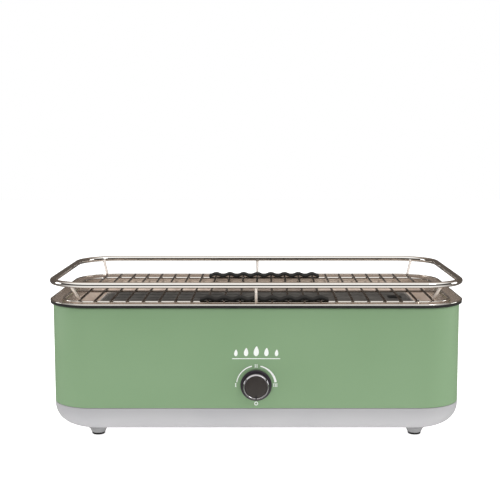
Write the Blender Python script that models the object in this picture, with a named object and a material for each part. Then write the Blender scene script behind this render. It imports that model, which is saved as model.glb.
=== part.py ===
"""Table-top charcoal grill with a battery fan, built as separate named sub-parts.

The frame is metres with +Z up. The control knob faces -Y and the origin lies on the table, under the
middle of the bounding box. Dimensions below are in millimetres, measured from the middle of the body,
and a mesh turns them into metres as it is made.
"""
import math

import bmesh
import bpy
from mathutils import Vector

MM = 0.001
GAP = 0.3                      # clearance between neighbouring solids

# Plan of the rim and of the carrying rail above it
RIM_HALF_X = 230.0
RIM_HALF_Y = 123.0
RIM_RADIUS = 50.0
RIM_TOP_Z = 153.95
BEAD_RADIUS = 0.95
GASKET_HEIGHT = 2.25
CORNER_STEPS = 5

# Body
BODY_INSET = 3.4
BODY_HALF_X = RIM_HALF_X - BODY_INSET
BODY_HALF_Y = RIM_HALF_Y - BODY_INSET
BODY_RADIUS = RIM_RADIUS - BODY_INSET
CASING_BOTTOM_Z = 39.0
CASING_TOP_Z = RIM_TOP_Z - 2 * BEAD_RADIUS - GASKET_HEIGHT - 2 * GAP
SHEET = 1.2
FLANGE_WIDTH = 5.0
TRAY_BOTTOM_Z = 10.8
TRAY_WALL = 2.5
TRAY_CURVE_X = 26.0
TRAY_CURVE_Z = 25.0
TRAY_FLOOR_Z = TRAY_BOTTOM_Z + TRAY_WALL
LIP_TOP_Z = 45.0
LIP_INSET = SHEET + 2 * GAP

# Feet
FOOT_X = 178.0
FOOT_Y = 82.0
FOOT_TOP_RADIUS = 11.5
FOOT_LOW_RADIUS = 7.6
SOLE_HEIGHT = 2.0
SPIGOT_RADIUS = 4.0

# Bowl and charcoal parts
BOWL_FLOOR_Z = 69.2
AIR_HOLE_RADIUS = 26.0
BASKET_HALF_X = 172.0
BASKET_HALF_Y = 34.0
BASKET_BOTTOM_Z = 77.4
BASKET_TOP_Z = 137.6
BASKET_LIP_HALF_X = 184.0
BASKET_LIP_HALF_Y = 42.5
BASKET_LIP_TOP_Z = 142.5
COVER_HALF_X = 181.5
COVER_HALF_Y = 40.0
COVER_Z = 138.0
COVER_THICKNESS = 3.6

# Grate
WIRE_PITCH = 17.6
WIRES_EACH_SIDE = 11
WIRE_AREA_HALF_X = 212.0
WIRE_AREA_HALF_Y = 108.0
WIRE_AREA_RADIUS = 40.0
WIRE_THICKNESS = 2.5
WELD_DEPTH = 0.1
CROSS_WIRE_Z = 154.3
LONG_WIRE_Z = CROSS_WIRE_Z - WIRE_THICKNESS + WELD_DEPTH
LONG_WIRE_Y = 19.0
LOOP_HALF_X = 217.0
LOOP_HALF_Y = 95.0
LOOP_RADIUS = 32.0
LOOP_THICKNESS = 3.4
LOOP_Z = CROSS_WIRE_Z - (WIRE_THICKNESS + LOOP_THICKNESS) / 2 + WELD_DEPTH
RAIL_Z = 174.3
RAIL_TUBE_RADIUS = 3.3
RAIL_HALF_X = RIM_HALF_X - RAIL_TUBE_RADIUS
RAIL_HALF_Y = RIM_HALF_Y - RAIL_TUBE_RADIUS
RAIL_RADIUS = RIM_RADIUS - RAIL_TUBE_RADIUS
POST_RADIUS = 1.4

# Wavy grips that ride on the cross wires
GRIP_WAVES = 8
GRIP_DEPTH = 17.0
GRIP_OUTER_Y = 104.0
GRIP_WAVE_HEIGHT = 2.4
GRIP_THICKNESS = 2.6

# Fan under the bowl
FAN_HOUSING_RADIUS = 38.0
FAN_BORE_RADIUS = 35.0
FAN_BOTTOM_Z = 24.0
FAN_TOP_Z = 48.0
FAN_BLADES = 7
MOTOR_RADIUS = 12.3
MOTOR_BOTTOM_Z = 19.5
MOTOR_TOP_Z = 33.0
SHIELD_Z = 58.0
BOSS_X = 150.0
BOSS_Y = 66.0

# Battery bay
BAY_X = 96.0
BAY_HALF_X = 34.0
BAY_HALF_Y = 34.0
BAY_TOP_Z = 36.0
BATTERY_RADIUS = 7.2
BATTERY_LENGTH = 50.5
BATTERY_PITCH = 15.5
BATTERY_Z = 26.5
DOOR_THICKNESS = 2.2
DOOR_Z = TRAY_BOTTOM_Z - GAP - DOOR_THICKNESS

# Control
KNOB_Z = 64.7
SKIRT_RADIUS = 17.0
KNOB_HUB_RADIUS = 13.9
KNOB_CAP_RADIUS = 12.0
KNOB_HUB_FRONT = 8.0
KNOB_FRONT = 10.0

# From the body's middle to the middle of the bounding box, because the knob stands out in front
FRAME_SHIFT_Y = (BODY_HALF_Y + KNOB_FRONT - RIM_HALF_Y) / 2


# ---------------------------------------------------------------- helpers

def clear_scene():
    for item in list(bpy.data.objects):
        bpy.data.objects.remove(item, do_unlink=True)


def make_material(name, color, roughness, metallic=0.0):
    material = bpy.data.materials.new(name)
    material.use_nodes = True
    shader = material.node_tree.nodes["Principled BSDF"]
    shader.inputs["Base Color"].default_value = (*color, 1.0)
    shader.inputs["Roughness"].default_value = roughness
    shader.inputs["Metallic"].default_value = metallic
    return material


def add_empty(name, location, parent=None, rotation=(0.0, 0.0, 0.0)):
    empty = bpy.data.objects.new(name, None)
    bpy.context.scene.collection.objects.link(empty)
    empty.parent = parent
    empty.location = Vector(location) * MM
    empty.rotation_euler = rotation
    return empty


def add_piece(name, bm, material, parent, location=(0.0, 0.0, 0.0), rotation=(0.0, 0.0, 0.0)):
    """Turn a bmesh into a named object and place it."""
    mesh = bpy.data.meshes.new(name)
    bm.to_mesh(mesh)
    bm.free()
    mesh.shade_smooth()
    mesh.set_sharp_from_angle(angle=math.radians(35))
    mesh.materials.append(material)
    piece = bpy.data.objects.new(name, mesh)
    bpy.context.scene.collection.objects.link(piece)
    piece.parent = parent
    piece.location = Vector(location) * MM
    piece.rotation_euler = rotation
    return piece


def combine(piece, tool_bm, operation):
    """Cut a tool shape from a piece, or weld it on, with a Boolean modifier."""
    mesh = bpy.data.meshes.new(f"{piece.name}_{operation.lower()}_tool")
    tool_bm.to_mesh(mesh)
    tool_bm.free()
    tool = bpy.data.objects.new(mesh.name, mesh)
    bpy.context.scene.collection.objects.link(tool)
    tool.parent = piece
    tool.hide_render = True
    tool.display_type = "WIRE"
    modifier = piece.modifiers.new(tool.name, "BOOLEAN")
    modifier.operation = operation
    modifier.solver = "EXACT"
    modifier.object = tool


def rounded_ring(half_x, half_y, radius, z, steps=CORNER_STEPS):
    """Points of a rounded rectangle, anticlockwise seen from above."""
    points = []
    for quadrant, (side_x, side_y) in enumerate(((1, 1), (-1, 1), (-1, -1), (1, -1))):
        for step in range(steps + 1):
            angle = (quadrant + step / steps) * math.pi / 2
            x = side_x * (half_x - radius) + radius * math.cos(angle)
            y = side_y * (half_y - radius) + radius * math.sin(angle)
            points.append((x, y, z))
    return points


def loft(rings, closed=False):
    """Skin rings of equal length: capped at both ends, or closed on itself like a tube wall."""
    bm = bmesh.new()
    rows = [[bm.verts.new(Vector(point) * MM) for point in ring] for ring in rings]
    following = rows[1:] + rows[:1] if closed else rows[1:]
    for row, next_row in zip(rows, following):
        for index in range(len(row)):
            after = (index + 1) % len(row)
            bm.faces.new((row[index], row[after], next_row[after], next_row[index]))
    if not closed:
        bm.faces.new(rows[0])
        bm.faces.new(rows[-1])
    bmesh.ops.recalc_face_normals(bm, faces=bm.faces)
    return bm


def turned(profile, segments, bm=None, center=(0.0, 0.0)):
    """Spin a profile of (radius, height) about Z. It closes on itself, or ends on the axis."""
    part = bmesh.new()
    verts = [part.verts.new(Vector((radius, 0.0, height)) * MM) for radius, height in profile]
    pairs = list(zip(verts, verts[1:]))
    if profile[0][0] > 0.0:
        pairs.append((verts[-1], verts[0]))
    edges = [part.edges.new(pair) for pair in pairs]
    bmesh.ops.spin(part, geom=verts + edges, cent=(0.0, 0.0, 0.0), axis=(0.0, 0.0, 1.0),
                   angle=math.tau, steps=segments, use_merge=True)
    bmesh.ops.remove_doubles(part, verts=part.verts, dist=0.000001)
    bmesh.ops.translate(part, verts=part.verts, vec=Vector((*center, 0.0)) * MM)
    bmesh.ops.recalc_face_normals(part, faces=part.faces)
    if bm is None:
        return part
    merge_into(bm, part)
    return bm


def merge_into(bm, part):
    """Copy one bmesh into another and free it."""
    mesh = bpy.data.meshes.new("transfer")
    part.to_mesh(mesh)
    part.free()
    bm.from_mesh(mesh)
    bpy.data.meshes.remove(mesh)


def box(low, high, bm=None):
    """A block between two corners, added to a bmesh or in a new one."""
    bm = bmesh.new() if bm is None else bm
    corners = []
    for z in (low[2], high[2]):
        for x, y in ((low[0], low[1]), (high[0], low[1]), (high[0], high[1]), (low[0], high[1])):
            corners.append(bm.verts.new(Vector((x, y, z)) * MM))
    for face in ((3, 2, 1, 0), (4, 5, 6, 7), (0, 1, 5, 4), (1, 2, 6, 5), (2, 3, 7, 6), (3, 0, 4, 7)):
        bm.faces.new([corners[index] for index in face])
    return bm


def rod(start, end, radius, sides, bm=None):
    """A straight round bar between two points, with a flat on top and below."""
    bm = bmesh.new() if bm is None else bm
    start = Vector(start)
    end = Vector(end)
    along = (end - start).normalized()
    across = along.cross(Vector((0.0, 0.0, 1.0))).normalized()
    up = across.cross(along)
    rows = []
    for center in (start, end):
        row = []
        for index in range(sides):
            angle = math.tau * index / sides
            row.append(bm.verts.new((center + across * radius * math.cos(angle)
                                     + up * radius * math.sin(angle)) * MM))
        rows.append(row)
    faces = [bm.faces.new(rows[0]), bm.faces.new(rows[1])]
    for index in range(sides):
        after = (index + 1) % sides
        faces.append(bm.faces.new((rows[0][index], rows[0][after], rows[1][after], rows[1][index])))
    bmesh.ops.recalc_face_normals(bm, faces=faces)
    return bm


def loop_tube(half_x, half_y, radius, z, tube_radius, sides, phase=0.0):
    """A round bar bent into a rounded rectangle."""
    rings = []
    for index in range(sides):
        angle = phase + math.tau * index / sides
        offset = tube_radius * math.cos(angle)
        height = z + tube_radius * math.sin(angle)
        rings.append(rounded_ring(half_x + offset, half_y + offset, radius + offset, height))
    return loft(rings, closed=True)


def sheet_rings(profile, radius_share):
    """Rings of the rim plan, each inset by the profile's first value at the second value's height."""
    return [rounded_ring(RIM_HALF_X - inset, RIM_HALF_Y - inset, RIM_RADIUS - radius_share * inset, z)
            for inset, z in profile]


# ---------------------------------------------------------------- body shell

def add_casing(root, paint):
    def ring(inset, z):
        return rounded_ring(BODY_HALF_X - inset, BODY_HALF_Y - inset, BODY_RADIUS - inset, z)

    edge = 1.4
    rings = [ring(0.0, CASING_BOTTOM_Z), ring(0.0, CASING_TOP_Z - edge), ring(edge, CASING_TOP_Z),
             ring(FLANGE_WIDTH, CASING_TOP_Z), ring(FLANGE_WIDTH, CASING_TOP_Z - SHEET),
             ring(2 * edge, CASING_TOP_Z - SHEET), ring(SHEET, CASING_TOP_Z - 3 * edge),
             ring(SHEET, CASING_BOTTOM_Z)]
    casing = add_piece("casing", loft(rings, closed=True), paint, root)
    combine(casing, control_hole(), "DIFFERENCE")
    combine(casing, casing_screw_holes(1.6), "DIFFERENCE")


def control_hole():
    """A bore along Y through the front wall, for the speed control's bushing."""
    return rod((0.0, -BODY_HALF_Y - 5.0, KNOB_Z), (0.0, -BODY_HALF_Y + 5.0, KNOB_Z), 4.6, 16)


def casing_screw_places():
    """Position and outward direction of the four screws that join the casing to the base tray."""
    z = (CASING_BOTTOM_Z + LIP_TOP_Z) / 2
    return [((-150.0, BODY_HALF_Y, z), (0.0, 1.0, 0.0)), ((150.0, BODY_HALF_Y, z), (0.0, 1.0, 0.0)),
            ((-BODY_HALF_X, 0.0, z), (-1.0, 0.0, 0.0)), ((BODY_HALF_X, 0.0, z), (1.0, 0.0, 0.0))]


def casing_screw_holes(radius):
    bm = bmesh.new()
    for place, outward in casing_screw_places():
        direction = Vector(outward)
        rod(Vector(place) - direction * 6.0, Vector(place) + direction * 3.0, radius, 10, bm)
    return bm


def add_base_tray(root, plastic):
    def ring(inset, z):
        radius = BODY_RADIUS - 0.7 * inset
        return rounded_ring(BODY_HALF_X - inset, BODY_HALF_Y - inset, radius, z)

    steps = 6
    outside = []
    inside = []
    for step in range(steps + 1):
        angle = math.pi / 2 * step / steps
        inset = TRAY_CURVE_X * (1 - math.sin(angle))
        rise = TRAY_CURVE_Z * (1 - math.cos(angle))
        outside.append(ring(inset, TRAY_BOTTOM_Z + rise))
        inner_inset = LIP_INSET + 2.0 + (TRAY_CURVE_X - 4.0) * (1 - math.sin(angle))
        inside.append(ring(inner_inset, TRAY_FLOOR_Z + rise * 0.88))
    rings = outside + [ring(0.0, CASING_BOTTOM_Z - GAP), ring(LIP_INSET, CASING_BOTTOM_Z - GAP),
                       ring(LIP_INSET, LIP_TOP_Z), ring(LIP_INSET + 2.0, LIP_TOP_Z)]
    tray = add_piece("base_tray", loft(rings + inside[::-1]), plastic, root)
    combine(tray, tray_additions(), "UNION")
    combine(tray, tray_cuts(), "DIFFERENCE")
    combine(tray, casing_screw_holes(1.6), "DIFFERENCE")


def tray_additions():
    """Bosses for the heat shield and the fan, and the rails that hold the battery door."""
    bm = bmesh.new()
    for x in (-BOSS_X, BOSS_X):
        for y in (-BOSS_Y, BOSS_Y):
            turned([(0.0, TRAY_FLOOR_Z - 1.0), (5.0, TRAY_FLOOR_Z - 1.0),
                    (5.0, SHIELD_Z - GAP), (0.0, SHIELD_Z - GAP)], 14, bm, (x, y))
    for x, y in fan_screw_places():
        turned([(0.0, TRAY_FLOOR_Z - 1.0), (3.5, TRAY_FLOOR_Z - 1.0),
                (3.5, FAN_BOTTOM_Z - GAP), (0.0, FAN_BOTTOM_Z - GAP)], 12, bm, (x, y))
    for side in (-1, 1):
        merge_into(bm, door_rail(side))
    return bm


def door_rail(side):
    """An L-shaped rail along X, whose ledge runs under one edge of the battery door."""
    ledge_top = DOOR_Z - GAP
    section = [(BAY_HALF_Y + 3.5, TRAY_BOTTOM_Z + 0.6), (BAY_HALF_Y + 0.5, TRAY_BOTTOM_Z + 0.6),
               (BAY_HALF_Y + 0.5, ledge_top), (BAY_HALF_Y - 2.0, ledge_top),
               (BAY_HALF_Y - 2.0, ledge_top - 1.2), (BAY_HALF_Y + 3.5, ledge_top - 1.2)]
    return loft([[(x, side * y, z) for y, z in section] for x in (BAY_X - 38.0, BAY_X + 38.0)])


def tray_cuts():
    """Battery opening, air slots under the fan, and holes for the feet and screws."""
    bm = box((BAY_X - 31.5, -31.5, TRAY_BOTTOM_Z - 1.0), (BAY_X + 31.5, 31.5, TRAY_FLOOR_Z + 1.0))
    for index in range(-3, 4):
        x = index * 9.0
        half_length = math.sqrt(33.0 ** 2 - x ** 2)
        box((x - 2.5, -half_length, TRAY_BOTTOM_Z - 1.0), (x + 2.5, half_length, TRAY_FLOOR_Z + 1.0), bm)
    for x in (-FOOT_X, FOOT_X):
        for y in (-FOOT_Y, FOOT_Y):
            rod_up(bm, (x, y), SPIGOT_RADIUS + GAP, TRAY_BOTTOM_Z - 1.0, TRAY_FLOOR_Z + 3.0)
    for x in (-BOSS_X, BOSS_X):
        for y in (-BOSS_Y, BOSS_Y):
            rod_up(bm, (x, y), 1.9, SHIELD_Z - 12.0, SHIELD_Z + 1.0)
    for x, y in fan_screw_places():
        rod_up(bm, (x, y), 1.5, FAN_BOTTOM_Z - 6.0, FAN_BOTTOM_Z + 1.0)
    return bm


def rod_up(bm, center, radius, low, high, segments=12):
    """A vertical cylinder added to a bmesh."""
    turned([(0.0, low), (radius, low), (radius, high), (0.0, high)], segments, bm, center)


def add_feet(root, plastic, rubber):
    for side_x, label_x in ((-1, "left"), (1, "right")):
        for side_y, label_y in ((-1, "front"), (1, "rear")):
            place = (side_x * FOOT_X, side_y * FOOT_Y, 0.0)
            low = SOLE_HEIGHT + GAP
            top = TRAY_BOTTOM_Z - GAP
            foot = turned([(0.0, low), (FOOT_LOW_RADIUS - 0.6, low), (FOOT_LOW_RADIUS, low + 1.0),
                           (FOOT_TOP_RADIUS, top - 1.5), (FOOT_TOP_RADIUS, top), (SPIGOT_RADIUS, top),
                           (SPIGOT_RADIUS, TRAY_FLOOR_Z + 1.5), (0.0, TRAY_FLOOR_Z + 1.5)], 14)
            add_piece(f"foot_{label_y}_{label_x}", foot, plastic, root, place)
            sole = turned([(0.0, 0.0), (FOOT_LOW_RADIUS - 0.8, 0.0), (FOOT_LOW_RADIUS, 0.8),
                           (FOOT_LOW_RADIUS, SOLE_HEIGHT), (0.0, SOLE_HEIGHT)], 14)
            add_piece(f"sole_{label_y}_{label_x}", sole, rubber, root, place)


def add_casing_screws(root, steel):
    profile = [(0.0, -5.0), (1.2, -5.0), (1.2, GAP), (3.0, GAP), (3.0, GAP + 0.9), (2.0, GAP + 1.6),
               (0.0, GAP + 1.6)]
    for number, (place, outward) in enumerate(casing_screw_places(), start=1):
        rotation = Vector((0.0, 0.0, 1.0)).rotation_difference(Vector(outward)).to_euler()
        add_piece(f"casing_screw_{number}", turned(profile, 10), steel, root, place, rotation)


# ---------------------------------------------------------------- bowl and charcoal parts

def add_bowl(root, steel):
    """Drawn bowl: rolled bead, inward-sloping flange, steep wall and a floor with the air hole."""
    bead_center = (BEAD_RADIUS, RIM_TOP_Z - BEAD_RADIUS)
    bead = []
    for step in range(8):
        angle = math.pi / 2 + step * math.pi / 5
        bead.append((bead_center[0] + BEAD_RADIUS * math.cos(angle),
                     bead_center[1] + BEAD_RADIUS * math.sin(angle)))
    upper = [(58.0, BOWL_FLOOR_Z), (52.0, 72.8), (48.0, 82.0), (44.0, 110.0), (40.0, 128.0),
             (32.0, 137.6), (21.5, 144.4), (13.0, 148.9), (9.5, 150.9), (7.0, 152.2), (4.4, 153.0)]
    lower = [(4.4, 151.9), (6.6, 151.2), (9.0, 149.9), (12.3, 147.9), (20.8, 143.4), (31.2, 136.7),
             (38.8, 127.4), (42.8, 109.8), (46.8, 81.8), (51.2, 71.6), (58.0, BOWL_FLOOR_Z - SHEET)]
    bowl = add_piece("bowl", loft(sheet_rings(upper + bead + lower, 0.5)), steel, root)
    hole = bmesh.new()
    rod_up(hole, (0.0, 0.0), AIR_HOLE_RADIUS, BOWL_FLOOR_Z - 4.0, BOWL_FLOOR_Z + 4.0, 20)
    combine(bowl, hole, "DIFFERENCE")


def add_rim_gasket(root, rubber):
    """Black ring between the casing and the bead, nearly flush with the bead."""
    low = CASING_TOP_Z + GAP
    top = low + GASKET_HEIGHT
    profile = [(0.8, low), (0.4, low + 0.4), (0.4, top - 0.4), (0.8, top), (4.0, top), (4.0, low)]
    add_piece("rim_gasket", loft(sheet_rings(profile, 0.5), closed=True), rubber, root)


def add_air_diffuser(root, steel):
    """Cap over the air hole: it spreads the air sideways and keeps embers out of the fan."""
    low = BOWL_FLOOR_Z + GAP
    top = BASKET_BOTTOM_Z - GAP
    cap = turned([(0.0, top), (32.0, top), (34.0, top - 1.5), (34.0, low), (33.0, low),
                  (33.0, top - 1.8), (31.6, top - 1.0), (0.0, top - 1.0)], 20)
    diffuser = add_piece("air_diffuser", cap, steel, root)
    middle = Vector((0.0, 0.0, low + 2.6))
    for index in range(4):
        angle = math.pi * (index + 0.5) / 4
        reach = Vector((math.cos(angle), math.sin(angle), 0.0)) * 40.0
        combine(diffuser, rod(middle - reach, middle + reach, 2.2, 6), "DIFFERENCE")


def add_charcoal_basket(root, steel):
    def ring(inset, z):
        return rounded_ring(BASKET_HALF_X - inset, BASKET_HALF_Y - inset, 12.0 - inset, z, 4)

    wall = SHEET
    rings = [ring(0.0, BASKET_BOTTOM_Z), ring(0.0, BASKET_TOP_Z), ring(wall, BASKET_TOP_Z),
             ring(wall, BASKET_BOTTOM_Z + wall)]
    basket = add_piece("charcoal_basket", loft(rings), steel, root)
    feet = bmesh.new()
    for x in (-140.0, 140.0):
        for y in (-22.0, 22.0):
            box((x - 6.0, y - 4.0, BOWL_FLOOR_Z + GAP), (x + 6.0, y + 4.0, BASKET_BOTTOM_Z + 0.6), feet)
    combine(basket, feet, "UNION")
    slots = bmesh.new()
    for index in range(-5, 6):
        x = index * 29.0
        box((x - 9.0, -24.0, BASKET_BOTTOM_Z - 0.6), (x - 3.0, 24.0, BASKET_BOTTOM_Z + 3.0), slots)
        for y in (-BASKET_HALF_Y, BASKET_HALF_Y):
            box((x - 10.0, y - 3.0, 96.0), (x + 10.0, y + 3.0, 104.0), slots)
    combine(basket, slots, "DIFFERENCE")


def add_basket_rim(root, steel):
    """Frame round the basket: a ledge that carries the cover, and a lip outside it."""
    low = BASKET_TOP_Z - SHEET
    ledge = rounded_ring(BASKET_HALF_X + GAP, BASKET_HALF_Y + GAP, 12.0 + GAP, low, 4)

    def lip(inset, z):
        return rounded_ring(BASKET_LIP_HALF_X - inset, BASKET_LIP_HALF_Y - inset, 16.0 - inset, z, 4)

    rings = [ledge, lip(0.0, low), lip(0.0, BASKET_LIP_TOP_Z), lip(SHEET, BASKET_LIP_TOP_Z),
             lip(SHEET, BASKET_TOP_Z), [(x, y, BASKET_TOP_Z) for x, y, _ in ledge]]
    add_piece("basket_rim", loft(rings, closed=True), steel, root)


def add_basket_cover(root, iron):
    """Cover plate: ribs along its left half, a finger slot near its right end."""
    def ring(inset, z):
        return rounded_ring(COVER_HALF_X - inset, COVER_HALF_Y - inset, 14.0 - inset, z, 5)

    top = COVER_Z + COVER_THICKNESS
    rings = [ring(0.8, COVER_Z), ring(0.0, COVER_Z + 0.8), ring(0.0, top - 0.8), ring(0.8, top)]
    cover = add_piece("basket_cover", loft(rings), iron, root)
    ribs = bmesh.new()
    for index in (-1, 0, 1):
        y = index * 22.0
        box((-168.0, y - 1.6, top - 0.5), (-16.0, y + 1.6, top + 1.2), ribs)
    combine(cover, ribs, "UNION")
    slot = loft([rounded_ring(8.5, 12.0, 6.0, z, 4) for z in (COVER_Z - 1.0, top + 1.0)])
    bmesh.ops.translate(slot, verts=slot.verts, vec=Vector((165.0, 5.0, 0.0)) * MM)
    combine(cover, slot, "DIFFERENCE")


# ---------------------------------------------------------------- grate

def add_grate_grid(root, chrome):
    """Cross wires on two lengthwise wires and a bar bent round the edge, with one upright peg."""
    flat_to_radius = 1.0 / (2.0 * math.cos(math.pi / 6))
    loop_radius = LOOP_THICKNESS * flat_to_radius
    edge_bar = loop_tube(LOOP_HALF_X, LOOP_HALF_Y, LOOP_RADIUS, LOOP_Z, loop_radius, 6)
    grid = add_piece("grate_grid", edge_bar, chrome, root)
    radius = WIRE_THICKNESS * flat_to_radius
    long_wires = bmesh.new()
    for y in (-LONG_WIRE_Y, LONG_WIRE_Y):
        rod((-LOOP_HALF_X, y, LONG_WIRE_Z), (LOOP_HALF_X, y, LONG_WIRE_Z), radius, 6, long_wires)
    combine(grid, long_wires, "UNION")
    cross_wires = bmesh.new()
    for index in range(-WIRES_EACH_SIDE, WIRES_EACH_SIDE + 1):
        x = index * WIRE_PITCH
        end = edge_y(abs(x) + radius, WIRE_AREA_HALF_X, WIRE_AREA_HALF_Y, WIRE_AREA_RADIUS)
        rod((x, -end, CROSS_WIRE_Z), (x, end, CROSS_WIRE_Z), radius, 6, cross_wires)
    combine(grid, cross_wires, "UNION")
    peg = bmesh.new()
    rod_up(peg, (10 * WIRE_PITCH, -WIRE_AREA_HALF_Y - 0.6), 1.2, CROSS_WIRE_Z - 2.0, CROSS_WIRE_Z + 2.8, 10)
    combine(grid, peg, "UNION")


def post_places():
    """Foot and head of each of the six posts, which lean outward from the wire ends to the rail."""
    low_z = CROSS_WIRE_Z + WIRE_THICKNESS / 2
    places = []
    for side_y in (-1, 1):
        places.append(((0.0, side_y * (WIRE_AREA_HALF_Y + POST_RADIUS + 2 * GAP), CROSS_WIRE_Z - 1.1),
                       (0.0, side_y * RAIL_HALF_Y, RAIL_Z)))
        for side_x in (-1, 1):
            foot = (side_x * WIRES_EACH_SIDE * WIRE_PITCH, side_y * 99.0, low_z + POST_RADIUS)
            head_x = 200.5
            head_y = edge_y(head_x, RAIL_HALF_X, RAIL_HALF_Y, RAIL_RADIUS)
            places.append((foot, (side_x * head_x, side_y * head_y, RAIL_Z)))
    return places


def edge_y(x, half_x, half_y, radius):
    """Distance from the long middle line to the edge of a rounded rectangle at x."""
    into_corner = max(0.0, x - (half_x - radius))
    return half_y - radius + math.sqrt(radius ** 2 - into_corner ** 2)


def add_grate_rail(root, chrome):
    rail_bar = loop_tube(RAIL_HALF_X, RAIL_HALF_Y, RAIL_RADIUS, RAIL_Z, RAIL_TUBE_RADIUS, 10)
    rail = add_piece("grate_rail", rail_bar, chrome, root)
    posts = bmesh.new()
    for foot, head in post_places():
        rod(foot, head, POST_RADIUS, 8, posts)
    combine(rail, posts, "UNION")


def add_grips(root, silicone):
    """Wavy strips whose crests sit on eight neighbouring cross wires and dip between them."""
    samples = GRIP_WAVES * 6
    length = GRIP_WAVES * WIRE_PITCH
    low_z = CROSS_WIRE_Z + WIRE_THICKNESS / 2 + GAP
    for name, side in (("grip_front", -1), ("grip_rear", 1)):
        rings = []
        for index in range(samples + 1):
            x = (index / samples - 0.5) * length + WIRE_PITCH / 2
            wave = math.cos(math.tau * x / WIRE_PITCH)
            z = low_z - GRIP_WAVE_HEIGHT * (1.0 - wave) / 2
            outer = side * GRIP_OUTER_Y
            inner = side * (GRIP_OUTER_Y - GRIP_DEPTH)
            rings.append([(x, outer, z), (x, inner, z), (x, inner, z + GRIP_THICKNESS),
                          (x, outer, z + GRIP_THICKNESS)])
        add_piece(name, loft(rings), silicone, root)


# ---------------------------------------------------------------- fan, batteries and control

def fan_screw_places():
    return [(41.5 * math.cos(angle), 41.5 * math.sin(angle))
            for angle in (math.radians(degrees) for degrees in (90, 210, 330))]


def add_fan(root, plastic, steel):
    low = FAN_BOTTOM_Z
    flange = 46.0
    housing = turned([(FAN_BORE_RADIUS, low), (flange, low), (flange, low + 2.0),
                      (FAN_HOUSING_RADIUS, low + 2.0), (FAN_HOUSING_RADIUS, FAN_TOP_Z),
                      (FAN_BORE_RADIUS, FAN_TOP_Z)], 24)
    holder = add_piece("fan_housing", housing, plastic, root)
    holes = bmesh.new()
    for x, y in fan_screw_places():
        rod_up(holes, (x, y), 1.7, low - 1.0, low + 3.0, 10)
    combine(holder, holes, "DIFFERENCE")
    screw = [(0.0, -5.0), (1.2, -5.0), (1.2, 2.0 + GAP), (2.8, 2.0 + GAP), (2.8, 3.4), (1.8, 4.2),
             (0.0, 4.2)]
    for number, (x, y) in enumerate(fan_screw_places(), start=1):
        add_piece(f"fan_screw_{number}", turned(screw, 10), steel, root, (x, y, low))

    bracket_low = low + 3.0
    bracket = turned([(MOTOR_RADIUS + GAP, bracket_low), (16.0, bracket_low), (16.0, bracket_low + 3.0),
                      (MOTOR_RADIUS + GAP, bracket_low + 3.0)], 20)
    spider = add_piece("motor_bracket", bracket, plastic, root)
    for degrees in (30, 150, 270):
        direction = Vector((math.cos(math.radians(degrees)), math.sin(math.radians(degrees)), 0.0))
        middle = Vector((0.0, 0.0, bracket_low + 1.5))
        arm = rod(middle + direction * 14.0, middle + direction * (FAN_BORE_RADIUS - 0.6), 1.4, 8)
        combine(spider, arm, "UNION")

    motor = turned([(0.0, MOTOR_BOTTOM_Z), (MOTOR_RADIUS - 1.0, MOTOR_BOTTOM_Z),
                    (MOTOR_RADIUS, MOTOR_BOTTOM_Z + 1.0), (MOTOR_RADIUS, MOTOR_TOP_Z - 1.0),
                    (MOTOR_RADIUS - 1.0, MOTOR_TOP_Z), (1.9, MOTOR_TOP_Z), (1.9, MOTOR_TOP_Z - 5.0),
                    (0.0, MOTOR_TOP_Z - 5.0)], 18)
    add_piece("fan_motor", motor, steel, root)


def add_impeller(pivot, plastic, steel):
    """Hub with pitched blades. Heights are above the pivot, which lies at the hub's lower face."""
    hub = turned([(1.9, 0.0), (12.5, 0.0), (13.5, 1.0), (13.5, 8.0), (10.0, 10.0), (0.0, 10.5),
                  (0.0, 8.0), (1.9, 8.0)], 14)
    impeller = add_piece("fan_impeller", hub, plastic, pivot)
    for number in range(FAN_BLADES):
        turn = math.tau * number / FAN_BLADES
        combine(impeller, fan_blade(turn), "UNION")
    shaft = turned([(0.0, -6.0), (1.5, -6.0), (1.5, 7.5), (0.0, 7.5)], 12)
    add_piece("motor_shaft", shaft, steel, pivot)


def fan_blade(turn):
    """One blade: sections from hub to tip, each less steeply pitched than the last."""
    rings = []
    for radius, pitch in ((12.6, 48.0), (23.0, 36.0), (33.4, 28.0)):
        half_chord = 5.0 + 0.10 * radius
        slope = math.radians(pitch)
        along = Vector((0.0, math.cos(slope), math.sin(slope))) * half_chord
        thick = Vector((0.0, -math.sin(slope), math.cos(slope))) * 0.6
        middle = Vector((radius, 0.0, 5.0))
        corners = [middle - along - thick, middle + along - thick, middle + along + thick,
                   middle - along + thick]
        rings.append([tuple(corner) for corner in corners])
    bm = loft(rings)
    bmesh.ops.rotate(bm, verts=bm.verts, cent=(0.0, 0.0, 0.0), matrix=rotation_about_z(turn))
    return bm


def rotation_about_z(angle):
    return Vector((1.0, 0.0, 0.0)).rotation_difference(
        Vector((math.cos(angle), math.sin(angle), 0.0))).to_matrix()


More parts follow.
